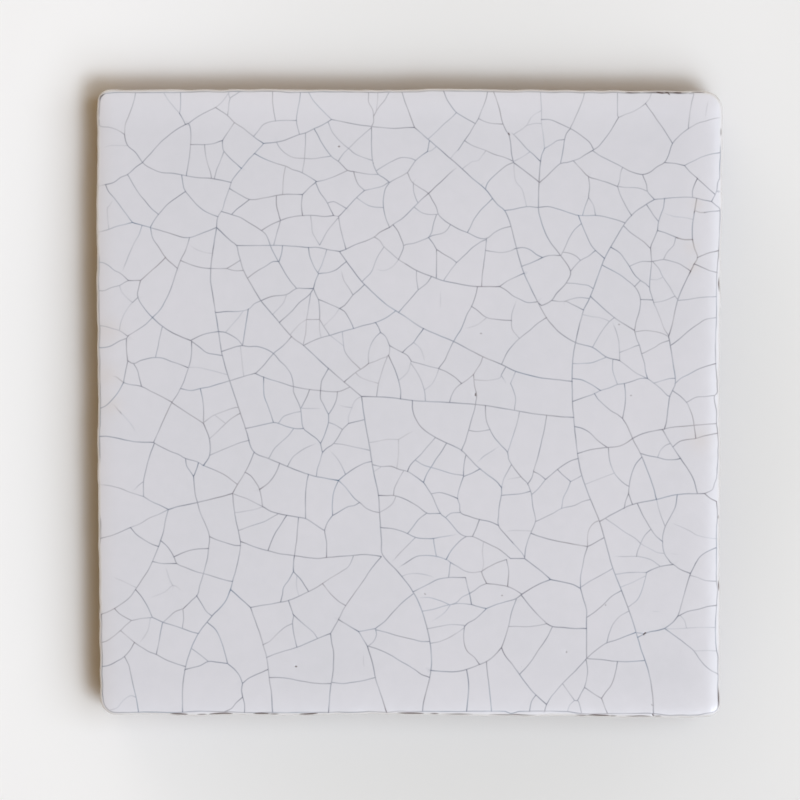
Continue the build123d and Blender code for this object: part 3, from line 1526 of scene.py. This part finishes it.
@dataclass(frozen=True)
class GlazeFinish:
    """Cool white crackle glaze: glassy, faintly clouded, inked along its cracks.

    Attributes:
        pale: lightest tone of the glaze.
        deep: deepest tone of the glaze.
        ink: what has settled in the cracks.
        blue_ink: the same where it is bluer.
        thin: the glaze where it runs thin over the lip.
        pooled: painted highlight, the glaze painted lighter inside the lip along the sides where the light falls.
        warm: soft stains on the face, and the painted warm shade along its left edge.
        clay: the body where it shows through a chip or a speck, darker than the bare sides because the chips carry
            painted shade; also the painted shade along the lip's edge.
        roughness: roughness of the glassy face.
        rough_clouds: how much the close clouds add to it.
        rough_ink: how much ink adds to it.
        rough_clay: roughness of bare clay.
        broad_share: how much of the tone the broad clouds give; the close clouds give the rest.
        pin_share: how much of a pin speck shows.
        ripple_strength: how much of the fine ripple shows.
        ripple_height: height of the ripple, in metres.
    """

    pale: ScreenColour = (213, 212, 218)
    deep: ScreenColour = (208, 208, 214)
    ink: ScreenColour = (96, 86, 92)
    blue_ink: ScreenColour = (62, 88, 114)
    thin: ScreenColour = (217, 215, 214)
    pooled: ScreenColour = (236, 235, 241)
    warm: ScreenColour = (205, 192, 180)
    clay: ScreenColour = (70, 48, 40)
    roughness: float = 0.16
    rough_clouds: float = 0.06
    rough_ink: float = 0.7
    rough_clay: float = 0.8
    broad_share: float = 0.65
    pin_share: float = 0.35
    ripple_strength: float = 0.12
    ripple_height: float = 0.0002

    def material(self, effects: SharedEffects) -> bpy.types.Material:
        """Builds the finish.

        Args:
            effects: the effects that the finishes share.

        Returns:
            The material.
        """
        material, sheet, place = start_material("crackle_glaze")
        broad = sheet.group(effects.clouds, {"Vector": place, "Scale": 34.0, "Detail": 2.0})
        close = sheet.group(effects.clouds, {"Vector": place, "Scale": 420.0, "Detail": 3.0})
        tone = sheet.math(
            "ADD",
            sheet.math("MULTIPLY", broad, self.broad_share),
            sheet.math("MULTIPLY", close, 1.0 - self.broad_share),
        )
        body = sheet.mix(tone, paint(*self.deep), paint(*self.pale))
        # Painted highlight: the glaze is painted lighter inside the lip on the sides that the lamps light.
        body = sheet.mix(sheet.mask(Mark.POOL), body, paint(*self.pooled))
        body = sheet.mix(sheet.mask(Mark.LIP), body, paint(*self.thin))
        # Soft stains, and the painted warm shade along the left edge
        body = sheet.mix(sheet.mask(Mark.WARM), body, paint(*self.warm))
        pins = sheet.group(effects.specks, {"Vector": place, "Scale": 260.0, "Size": 0.03, "Share": 0.05})
        body = sheet.mix(sheet.math("MULTIPLY", pins, self.pin_share), body, paint(*self.clay))
        ink = sheet.mask(Mark.INK)
        hue = sheet.group(effects.clouds, {"Vector": place, "Scale": 90.0, "Detail": 1.0})
        body = sheet.mix(ink, body, sheet.mix(hue, paint(*self.ink), paint(*self.blue_ink)))
        # Bare clay, with the painted shade in the chips and along the lip's outer edge
        bare = sheet.mask(Mark.CLAY)
        body = sheet.mix(bare, body, paint(*self.clay))
        rough = sheet.math("ADD", sheet.math("MULTIPLY", close, self.rough_clouds), self.roughness)
        rough = sheet.math("ADD", sheet.math("MULTIPLY", ink, self.rough_ink), rough)
        rough = sheet.math("MAXIMUM", rough, sheet.math("MULTIPLY", bare, self.rough_clay))
        ripple = sheet.add("ShaderNodeTexNoise", {"Vector": place, "Scale": 520.0, "Detail": 2.0})
        bump = sheet.bump(ripple.outputs[0], self.ripple_strength, self.ripple_height)
        sheet.surface({"Base Color": body, "Roughness": rough, "Normal": bump})
        return material


@dataclass(frozen=True)
class ClayFinish:
    """Bare fired clay on the sides and the back: brown, dry and a little gritty.

    Attributes:
        pale: lightest tone of the body.
        deep: deepest tone of the body.
        grit: dark grains in the body.
        dust: pale glaze dust that has stuck to the body.
        roughness: roughness of the dry surface.
        rough_clouds: how much the broad clouds add to it.
        dust_power: how far the dust keeps to the middle of its clouds.
        dust_share: how much of the dust shows.
        grain_share: how much of a dark grain shows.
        grain_sink: how far a grain lies below the surface, as a share of the tooth.
        tooth_strength: how much of the fine tooth of the surface shows.
        tooth_height: height of the tooth, in metres.
    """

    pale: ScreenColour = (142, 109, 87)
    deep: ScreenColour = (114, 84, 66)
    grit: ScreenColour = (72, 52, 42)
    dust: ScreenColour = (178, 158, 142)
    roughness: float = 0.88
    rough_clouds: float = 0.08
    dust_power: float = 3.0
    dust_share: float = 0.45
    grain_share: float = 0.55
    grain_sink: float = 0.6
    tooth_strength: float = 0.45
    tooth_height: float = 0.0002

    def material(self, effects: SharedEffects) -> bpy.types.Material:
        """Builds the finish.

        Args:
            effects: the effects that the finishes share.

        Returns:
            The material.
        """
        material, sheet, place = start_material("bare_clay")
        broad = sheet.group(effects.clouds, {"Vector": place, "Scale": 45.0, "Detail": 5.0})
        dusty = sheet.group(effects.clouds, {"Vector": place, "Scale": 130.0, "Detail": 6.0})
        grains = sheet.group(effects.specks, {"Vector": place, "Scale": 900.0, "Size": 0.32, "Share": 0.12})
        body = sheet.mix(broad, paint(*self.deep), paint(*self.pale))
        dust = sheet.math("MULTIPLY", sheet.math("POWER", dusty, self.dust_power), self.dust_share)
        body = sheet.mix(dust, body, paint(*self.dust))
        body = sheet.mix(sheet.math("MULTIPLY", grains, self.grain_share), body, paint(*self.grit))
        tooth = sheet.add("ShaderNodeTexNoise", {"Vector": place, "Scale": 1500.0, "Detail": 4.0})
        height = sheet.math("ADD", tooth.outputs[0], sheet.math("MULTIPLY", grains, -self.grain_sink))
        bump = sheet.bump(height, self.tooth_strength, self.tooth_height)
        rough = sheet.math("ADD", sheet.math("MULTIPLY", broad, self.rough_clouds), self.roughness)
        sheet.surface({"Base Color": body, "Roughness": rough, "Normal": bump})
        return material


class Skin(Enum):
    """The finishes of the tile, by their place in its list of materials."""

    GLAZE = 0
    CLAY = 1


@dataclass(frozen=True)
class BakeLayout:
    """Where the parts of the tile lie on its map, most of it given to the face.

    Attributes:
        face_share: side of the square that the face takes.
        gap: room between the parts.
        margin: room between the back and the edge of the map.
        face_span: width of the face that the square holds, in millimetres.
        strip_height: height of the strip of one side.
        side_span: height of a side that a strip holds, in millimetres.
    """

    face_share: float = 0.762
    gap: float = 0.012
    margin: float = 0.004
    face_span: float = 132.5
    strip_height: float = 0.046
    side_span: float = 12.5

    def face(self, x: float, y: float) -> tuple[float, float]:
        """Place of a point of the face."""
        return (0.5 + x / self.face_span) * self.face_share, (0.5 + y / self.face_span) * self.face_share

    def back(self, x: float, y: float) -> tuple[float, float]:
        """Place of a point of the back."""
        low = self.face_share + self.gap
        share = 1.0 - low - self.margin
        return low + (0.5 + x / self.face_span) * share, (0.5 + y / self.face_span) * share

    def side(self, side: int, along: float, down: float) -> tuple[float, float]:
        """Place of a point of a side, from how far along and how far down it lies."""
        low = self.face_share + self.gap + side * (self.strip_height + 0.5 * self.gap)
        across = (0.5 + along / self.face_span) * self.face_share
        return across, low + (1.0 - down / self.side_span) * self.strip_height


@dataclass
class GlazedTile:
    """The tile: a cracked glazed face, glaze run part way down its sides, and a bare clay body.

    Attributes:
        edge: the line that the slab is cut to.
        cracks: the net of cracks in the face.
        section: section through the edge.
        layout: where its parts lie on its map.
        rim_inset: inset of the ring where the face meets the side.
        rim_slack: how far inside that ring a point still belongs to it.
        roll_inset: inset of the ring that rounds the lip on the side.
        field_step: spacing of the points between the cracks.
        field_reach: half of the width that these points are laid over.
        field_inset: how far in from the cut they start.
        row_pitch: spacing of their rows, as a share of their spacing.
        crack_room: room that they keep from a crack.
        ring_room: room that the points of the lip keep from a crack.
        ring_thinning: inset from where every second point of a lip ring is left out.
        snap: distance at which the triangulation takes two points for one.
        groove: depth of an inked crack.
        groove_full: share of ink from which a crack is that deep.
        chip: depth of a chip.
        swell: how far the glaze sinks and swells between its high points.
        swell_mean: share of that where the waves are level.
        swell_waves: the long and the short wave of the swell.
        swell_rise: insets where the swell starts and where it is full.
        thin_face: insets where the glaze over the lip is thin and where it no longer is.
        thin_side: heights on the side where the glaze starts to thin and where it is thin.
        glaze_skin: thickness of the glaze at its lower edge.
        glaze_shares: shares of the way down the glazed side that its rings lie at.
        foot_height: mean height of the lower edge of the glaze.
        foot_swing: how far that edge rises and falls.
        foot_waves: the slow and the quick wave of that edge.
        foot_bead: how far under that edge and how far in its rounding lies.
        foot_end: how far under that edge the glaze meets the clay.
        drips: the wave that drips hang from.
        drip_least: height of that wave where a drip starts.
        drip_share: how far down it hangs.
        clay_shares: shares of the way down the bare side that its rings lie at.
        back_break: size of the broken edge round the back.
        break_round: height and inset of the ring that rounds that edge.
        back_level: height under which a face belongs to the back.
        saw: depth of the marks that the wire leaves on the sides.
        saw_length: length of these marks along the side.
        saw_pitch: how many lie over each other in a millimetre of height.
        half_width: half of the width of the face.
        highlight_near: distance from a side where the painted highlight is strongest.
        highlight_far: distance from a side where it has faded out.
        highlight_shares: how strong the painted highlight is along the right side, the top and the bottom.
        stain: how much of a soft stain shows at its middle.
        left_edge_shade: how much the left edge is stained.
        left_shade_reach: how far in from the left edge that stain fades.
        lip_rings: insets of the rows of points that shape the lip.
        back_rings: shares of the back's size that its rings are drawn in to.
        weld: gap that is closed between the face and the sides, in metres.
        smooth_angle: sharpest turn that is shaded smooth, in degrees.
    """

    edge: CutEdge
    cracks: CrackNet
    section: EdgeSection = EdgeSection()
    layout: BakeLayout = BakeLayout()
    rim_inset: float = 0.06
    rim_slack: float = 0.02
    roll_inset: float = 0.015
    field_step: float = 1.5
    field_reach: float = 70.0
    field_inset: float = 5.2
    row_pitch: float = 0.87
    crack_room: float = 0.5
    ring_room: float = 0.3
    ring_thinning: float = 2.0
    snap: float = 0.02
    groove: float = 0.005
    groove_full: float = 0.3
    chip: float = 0.06
    swell: float = 0.05
    swell_mean: float = 0.5
    swell_waves: tuple[Waver, Waver] = (Waver(17.0, 2.0, 0.42), Waver(6.0, 5.0, 0.12))
    swell_rise: tuple[float, float] = (0.3, 2.5)
    thin_face: tuple[float, float] = (0.1, 0.9)
    thin_side: tuple[float, float] = (4.0, 8.5)
    glaze_skin: float = 0.16
    glaze_shares: tuple[float, ...] = (0.0, 0.2, 0.4, 0.6, 0.8, 0.95)
    foot_height: float = 9.2
    foot_swing: float = 0.5
    foot_waves: tuple[Waver, Waver] = (Waver(14.0, 11.0, 0.6), Waver(4.0, 13.0, 0.22))
    foot_bead: tuple[float, float] = (0.10, 0.05)
    foot_end: float = 0.16
    drips: Waver = Waver(9.0, 17.0)
    drip_least: float = 0.25
    drip_share: float = 1.4
    clay_shares: tuple[float, ...] = (0.12, 0.3, 0.5, 0.7, 0.88, 1.0)
    back_break: float = 0.4
    break_round: float = 0.10
    back_level: float = 0.001
    saw: float = 0.04
    saw_length: float = 7.0
    saw_pitch: float = 2.2
    half_width: float = 65.2
    highlight_near: float = 1.0
    highlight_far: float = 10.0
    highlight_shares: tuple[float, float, float] = (0.21, 0.24, 0.16)
    stain: float = 0.2
    # left_edge_shade: how much painted warm shade lies along the left edge, which faces away from the lamps.
    # left_shade_reach: how far in from the left edge that painted shade fades.
    left_edge_shade: float = 0.3
    left_shade_reach: float = 1.6
    lip_rings: tuple[float, ...] = (0.14, 0.24, 0.36, 0.52, 0.72, 0.98, 1.3, 1.7, 2.2, 2.9, 3.8, 4.8)
    back_rings: tuple[float, ...] = (0.9, 0.65, 0.4, 0.15)
    weld: float = 1e-6
    smooth_angle: float = 38.0

    def build(self, effects: SharedEffects) -> bpy.types.Object:
        """Models the tile and dresses it.

        Args:
            effects: the effects that the finishes share.

        Returns:
            The finished piece.
        """
        body = self._body()
        face = self._face()
        finishes = {Skin.GLAZE: GlazeFinish().material(effects), Skin.CLAY: ClayFinish().material(effects)}
        for piece in (body, face):
            for skin in Skin:
                piece.data.materials.append(finishes[skin])
        select_only(body)
        face.select_set(True)
        bpy.ops.object.join()
        bpy.ops.object.mode_set(mode="EDIT")
        bpy.ops.mesh.select_all(action="SELECT")
        bpy.ops.mesh.remove_doubles(threshold=self.weld)
        bpy.ops.mesh.select_all(action="SELECT")
        bpy.ops.mesh.normals_make_consistent(inside=False)
        bpy.ops.mesh.select_all(action="DESELECT")
        bpy.ops.object.mode_set(mode="OBJECT")
        bpy.ops.object.shade_smooth_by_angle(angle=math.radians(self.smooth_angle))
        body.name = body.data.name = "glazed_tile"
        return body

    def _relief(self, point: Vector) -> float:
        """How far the glaze lies below its high points at a point of the face."""
        long, short = self.swell_waves
        return self.swell * (self.swell_mean - long.at(point) - short.at(point))

    def _pool(self, point: Vector) -> float:
        """How much painted highlight lies near the right side, the top and the bottom of the tile, where the light
        falls.
        """
        reaches = (self.half_width - point.x, self.half_width - point.y, self.half_width + point.y)
        return sum(
            most * (1.0 - soft_step(self.highlight_near, self.highlight_far, reach))
            for most, reach in zip(self.highlight_shares, reaches)
        )

    def _face(self) -> bpy.types.Object:
        """The glazed face. Its traced cracks cross each other, so a triangulation lays them out."""
        rim = self.edge.ring(self.rim_inset)
        count = len(rim)
        points = [point.copy() for point in rim]
        pieces = [(index, (index + 1) % count) for index in range(count)]
        rails, rail_pieces = self.cracks.rails()
        pieces += [(first + count, second + count) for first, second in rail_pieces]
        points += rails
        for number, inset in enumerate(self.lip_rings):
            every = 1 if inset < self.ring_thinning else 2
            for index, point in enumerate(self.edge.ring(inset)):
                if (index + number) % every == 0 and self.cracks.clear_of(point, self.ring_room):
                    points.append(point)
        half = int(self.field_reach / self.field_step)
        for row in range(-half, half + 1):
            for column in range(-half, half + 1):
                across = (column + 0.5 * (row % 2)) * self.field_step
                point = Vector((across, row * self.field_step * self.row_pitch))
                if self.edge.inset(point)[0] > self.field_inset and self.cracks.clear_of(point, self.crack_room):
                    points.append(point)
        laid, _, faces, _, _, _ = delaunay_2d_cdt(points, pieces, [list(range(count))], FACES_INSIDE, self.snap)
        mesh = bpy.data.meshes.new("glazed_face")
        heights, marks = self._face_heights(laid)
        mesh.from_pydata(
            [(point.x * MM, point.y * MM, height * MM) for point, height in zip(laid, heights)], [], faces
        )
        for mark, values in marks.items():
            mesh.attributes.new(mark.value, "FLOAT", "POINT").data.foreach_set("value", values)
        bake = mesh.uv_layers.new(name=BAKE_MAP)
        for loop in mesh.loops:
            bake.data[loop.index].uv = self.layout.face(*laid[loop.vertex_index])
        LOG.info("face: %d points, %d faces", len(laid), len(faces))
        return add_object("glazed_face", mesh)

    def _face_heights(self, laid: list[Vector]) -> tuple[list[float], dict[Mark, list[float]]]:
        """Heights and painted masks of the points of the face.

        Args:
            laid: the points, in millimetres.

        Returns:
            The heights in millimetres, and the masks from 0 to 1.
        """
        heights: list[float] = []
        marks: dict[Mark, list[float]] = {mark: [] for mark in Mark}
        stains = [(PICTURE.place(x, y), radius / PICTURE.scale) for x, y, radius in STAINS]
        for point in laid:
            inset, _ = self.edge.inset(point)
            ink, brown, bare = self.cracks.shows_at(point)
            height = self.section.height(inset)
            height -= self._relief(point) * soft_step(*self.swell_rise, inset)
            height -= self.groove * min(1.0, max(ink, brown) / self.groove_full) + self.chip * bare
            if inset < self.rim_inset + self.rim_slack:
                height = self.section.height(self.rim_inset)
            heights.append(height)
            marks[Mark.INK].append(ink)
            marks[Mark.CLAY].append(brown)
            marks[Mark.LIP].append(1.0 - soft_step(*self.thin_face, inset))
            # Painted highlight along the lit sides
            marks[Mark.POOL].append(self._pool(point))
            warm = sum(math.exp(-((point - spot).length / radius) ** 2) for spot, radius in stains)
            # Painted shade: the left edge, turned away from the lamps, is painted warmer and darker.
            left_shade = math.exp(-max(0.0, point.x + self.half_width) / self.left_shade_reach)
            marks[Mark.WARM].append(self.stain * warm + self.left_edge_shade * left_shade)
        return heights, marks

    def _foot(self, index: int) -> float:
        """Height of the lower edge of the glaze at a station."""
        point = self.edge.points[index]
        slow, quick = self.foot_waves
        drip = self.drip_share * max(0.0, self.drips.at(point) - self.drip_least)
        return self.foot_height + self.foot_swing * (slow.at(point) + quick.at(point) - drip)

    def _rings(self) -> list[tuple[list[Vector], Skin]]:
        """The rings from the edge of the face down the side and over the back, with the finish above each."""
        section, count = self.section, len(self.edge.points)
        rings: list[tuple[list[Vector], Skin]] = []

        def ring(heights: list[float], insets: list[float], skin: Skin) -> None:
            """Adds a ring at one height and inset for each station."""
            places = []
            for index in range(count):
                spot = self.edge.points[index] - self.edge.normals[index] * insets[index]
                places.append(Vector((spot.x, spot.y, heights[index])))
            rings.append((places, skin))

        for inset in (self.rim_inset, self.roll_inset):
            ring([section.height(inset)] * count, [inset] * count, Skin.GLAZE)
        feet = [self._foot(index) for index in range(count)]
        for share in self.glaze_shares:
            heights = [section.lip_centre * (1.0 - share) + foot * share for foot in feet]
            ring(heights, [section.setback(height) for height in heights], Skin.GLAZE)
        for drop, inset in (self.foot_bead, (self.foot_end, self.glaze_skin)):
            heights = [foot - drop for foot in feet]
            ring(heights, [section.setback(height) + inset for height in heights], Skin.GLAZE)
        for share in self.clay_shares:
            heights = [(foot - self.foot_end) * (1.0 - share) + self.back_break * share for foot in feet]
            insets = []
            for point, height in zip(self.edge.points, heights):
                along, across = (point.x + point.y) / self.saw_length, (point.x - point.y) / self.saw_length
                drag = wander(along, across, height * self.saw_pitch)
                insets.append(section.setback(height) + self.glaze_skin + self.saw * (1.0 + drag))
            ring(heights, insets, Skin.CLAY)
        low = section.setback(0.0) + self.glaze_skin + self.saw
        ring([self.break_round] * count, [low + self.break_round] * count, Skin.CLAY)
        ring([0.0] * count, [low + self.back_break] * count, Skin.CLAY)
        sole = rings[-1][0]
        for share in self.back_rings:
            rings.append(([place * share for place in sole], Skin.CLAY))
        return rings

    def _body(self) -> bpy.types.Object:
        """The sides and the back, drawn down ring by ring from the edge of the face."""
        rings = self._rings()
        count = len(self.edge.points)
        bpy.ops.object.select_all(action="DESELECT")
        bpy.ops.mesh.primitive_circle_add(vertices=count, radius=self.half_width * MM, fill_type="NOTHING")
        piece = bpy.context.object
        for vertex, place in zip(piece.data.vertices, rings[0][0]):
            vertex.co = place * MM
        bpy.ops.object.mode_set(mode="EDIT")
        bpy.ops.mesh.select_mode(type="VERT")
        bpy.ops.mesh.select_all(action="SELECT")
        for (above, _), (places, _) in zip(rings, rings[1:]):
            bpy.ops.mesh.extrude_edges_move()
            sheet = bmesh.from_edit_mesh(piece.data)
            fresh = {tuple(vertex.co): vertex for vertex in sheet.verts if vertex.select}
            for high, low in zip(above, places):
                fresh[tuple(high * MM)].co = low * MM
            bmesh.update_edit_mesh(piece.data)
        bpy.ops.mesh.merge(type="CENTER")
        bpy.ops.object.mode_set(mode="OBJECT")
        self._dress_body(piece, rings)
        return piece

    def _dress_body(self, piece: bpy.types.Object, rings: list[tuple[list[Vector], Skin]]) -> None:
        """Gives the faces of the side and the back their finish, masks and map.

        Args:
            piece: the modelled sides and back.
            rings: the rings of the side, as they were drawn.
        """
        mesh = piece.data
        count = len(self.edge.points)
        spots = lookup([place for places, _ in rings for place in places])
        bake = mesh.uv_layers.get(BAKE_MAP) or mesh.uv_layers.new(name=BAKE_MAP)
        for face in mesh.polygons:
            corners = [mesh.vertices[index].co / MM for index in face.vertices]
            if max(corner.z for corner in corners) < self.back_level:
                face.material_index = Skin.CLAY.value
                for loop, corner in zip(face.loop_indices, corners):
                    bake.data[loop].uv = self.layout.back(corner.x, corner.y)
                continue
            found = [divmod(spots.find(corner)[1], count) for corner in corners]
            face.material_index = rings[max(row for row, _ in found)][1].value
            home = self.edge.sides[min(station for _, station in found)]
            for loop, corner in zip(face.loop_indices, corners):
                along = (corner.x, corner.y, -corner.x, -corner.y)[home]
                bake.data[loop].uv = self.layout.side(home, along, self.section.thickness - corner.z)
        for mark in Mark:
            values = [0.0] * len(mesh.vertices)
            if mark is Mark.LIP:
                values = [soft_step(*self.thin_side, vertex.co.z / MM) for vertex in mesh.vertices]
            mesh.attributes.new(mark.value, "FLOAT", "POINT").data.foreach_set("value", values)
        LOG.info("body: %d stations, %d rings, %d faces", count, len(rings), len(mesh.polygons))


@dataclass(frozen=True)
class SoftLamp:
    """A square lamp that faces the tile.

    Attributes:
        name: name of the lamp.
        level: how much of a level surface's colour the lamp gives back by itself.
        rise: height above the horizon, in degrees.
        turn: direction round the tile from +X, in degrees.
        width: width of the lamp, in metres.
        height: height of the lamp, in metres.
        reach: distance from the tile, in metres.
        tint: colour of the light.
    """

    name: str
    level: float
    rise: float
    turn: float
    width: float
    height: float
    reach: float = 5.0
    tint: Colour = (0.90, 1.0, 1.13)

    def build(self) -> None:
        """Hangs the lamp."""
        rise, turn = math.radians(self.rise), math.radians(self.turn)
        out = Vector((math.cos(rise) * math.cos(turn), math.cos(rise) * math.sin(turn), math.sin(rise)))
        data = bpy.data.lights.new(self.name, "AREA")
        data.shape = "RECTANGLE"
        data.size, data.size_y = self.width, self.height
        data.color = self.tint
        # The power at which a small lamp at this distance and height gives that level
        data.energy = self.level * math.pi**2 * self.reach**2 / math.sin(rise)
        lamp = add_object(self.name, data)
        lamp.location = out * self.reach
        lamp.rotation_euler = (-out).to_track_quat("-Z", "Y").to_euler()


@dataclass(frozen=True)
class PaleFloor:
    """Plain pale floor with painted shade round the tile: its tone lifts away from the tile and towards the upper
    left.

    Attributes:
        size: side of the floor, in metres.
        deep: tone beside the tile, where the shade is painted.
        pale: tone far from the tile and to the upper left.
        near: distance from the origin where the tone starts to lift, in metres.
        far: distance where it has lifted, in metres.
        stretch: how much faster it lifts to the sides than to the top and the bottom.
        lift: shares of the pale tone where the lift starts and where it ends.
        slant: how much of the lift comes with a metre to the left and to the top.
        lean: the most that the slant may change the tone by.
        roughness: roughness of the floor.
    """

    size: float = 8.0
    deep: ScreenColour = (216, 216, 214)
    pale: ScreenColour = (248, 248, 248)
    near: float = 0.070
    far: float = 0.125
    stretch: float = 1.25
    lift: tuple[float, float] = (0.37, 0.745)
    slant: tuple[float, float] = (2.4, 1.3)
    lean: float = 0.2
    roughness: float = 0.9

    def build(self) -> None:
        """Lays the floor."""
        bpy.ops.object.select_all(action="DESELECT")
        bpy.ops.mesh.primitive_plane_add(size=self.size)
        floor = bpy.context.object
        floor.name = "studio_floor"
        material, sheet, place = start_material("pale_floor")
        # Painted shade: the floor is darker round the tile, as the shadow where the tile meets it.
        wide = sheet.add("ShaderNodeVectorMath", {0: place, 1: (self.stretch, 1.0, 1.0)}, operation="MULTIPLY")
        away = sheet.add("ShaderNodeVectorMath", {0: wide.outputs[0]}, operation="LENGTH").outputs["Value"]
        reach = {"From Min": self.near, "From Max": self.far, "To Min": self.lift[0], "To Max": self.lift[1]}
        lift = sheet.add("ShaderNodeMapRange", {"Value": away, **reach}, interpolation_type="SMOOTHSTEP")
        parts = sheet.add("ShaderNodeSeparateXYZ", {0: place})
        left = sheet.math("MULTIPLY", parts.outputs[0], -self.slant[0])
        upper = sheet.math("MULTIPLY", parts.outputs[1], self.slant[1])
        both = sheet.math("ADD", left, upper)
        lean = sheet.add("ShaderNodeClamp", {"Value": both, "Min": -self.lean, "Max": self.lean})
        tone = sheet.math("ADD", lift.outputs[0], lean.outputs[0])
        colour = sheet.mix(tone, paint(*self.deep), paint(*self.pale))
        sheet.surface({"Base Color": colour, "Roughness": self.roughness, "Specular IOR Level": 0.0})
        floor.data.materials.append(material)


@dataclass(frozen=True)
class Studio:
    """Pale floor, two lamps from the right and a low one behind, weak warm fill, and the camera above.

    Attributes:
        lamps: the lamps, with their levels and places.
        fill: level and tint of the light from all round.
        backdrop: tone that the camera and the glaze see all round.
        camera_reach: distance of the camera from the face, in metres.
        camera_end: distance up to which the camera sees, in metres.
        sensor: width of the camera's sensor, in millimetres.
    """

    lamps: tuple[SoftLamp, ...] = (
        SoftLamp("soft_key", level=0.315, rise=63.5, turn=-42.0, width=1.5, height=1.5),
        SoftLamp("broad_side", level=0.675, rise=56.5, turn=-27.0, width=6.6, height=4.3),
        SoftLamp("low_rear", level=0.042, rise=14.0, turn=116.0, width=3.0, height=1.6, tint=(1.08, 1.0, 0.9)),
    )
    fill: Colour = (0.235, 0.150, 0.050)
    backdrop: ScreenColour = (236, 236, 235)
    camera_reach: float = 1.6
    camera_end: float = 50.0
    sensor: float = 36.0

    def build(self) -> None:
        """Sets up the floor, the light and the camera."""
        PaleFloor().build()
        self._fill()
        for lamp in self.lamps:
            lamp.build()
        self._camera()
        bpy.context.scene.view_settings.view_transform = "Standard"

    def _fill(self) -> None:
        """Weak warm light from all round, which the camera sees as a pale backdrop."""
        world = bpy.data.worlds.new("studio_fill")
        world.use_nodes = True
        sheet = NodeSheet(world.node_tree)
        path = sheet.add("ShaderNodeLightPath")
        seen = sheet.math("MAXIMUM", path.outputs["Is Camera Ray"], path.outputs["Is Glossy Ray"])
        light = sheet.add("ShaderNodeBackground", {"Color": (*self.fill, 1.0), "Strength": 1.0})
        backdrop = sheet.add("ShaderNodeBackground", {"Color": paint(*self.backdrop), "Strength": 1.0})
        both = sheet.add("ShaderNodeMixShader", {0: seen, 1: light.outputs[0], 2: backdrop.outputs[0]})
        sheet.add("ShaderNodeOutputWorld", {"Surface": both.outputs[0]})
        bpy.context.scene.world = world

    def _camera(self) -> None:
        """The camera, straight above the face with a long lens."""
        data = bpy.data.cameras.new("camera")
        data.sensor_width = self.sensor
        data.lens = self.sensor * self.camera_reach / (PICTURE.span() * MM)
        data.clip_end = self.camera_end
        camera = add_object("camera", data)
        middle = PICTURE.middle() * MM
        camera.location = (middle.x, middle.y, EdgeSection().thickness * MM + self.camera_reach)
        bpy.context.scene.camera = camera


def main() -> None:
    """Builds the tile and the studio and reports each piece."""
    logging.basicConfig(level=logging.INFO, format="%(name)s: %(message)s")
    edge = CutEdge()
    edge.trace()
    LOG.info("cut edge: %d stations", len(edge.points))
    cracks = CrackNet(edge)
    cracks.draw()
    LOG.info("crack net: %d lines", len(cracks.lines))
    tile = GlazedTile(edge, cracks).build(SharedEffects())
    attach(tile, "root")
    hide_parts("tile")
    LOG.info("%s: %d faces", tile.name, len(tile.data.polygons))
    studio = Studio()
    studio.build()
    LOG.info("studio: floor, fill, %d lamps and camera", len(studio.lamps))


if __name__ == "__main__":
    main()
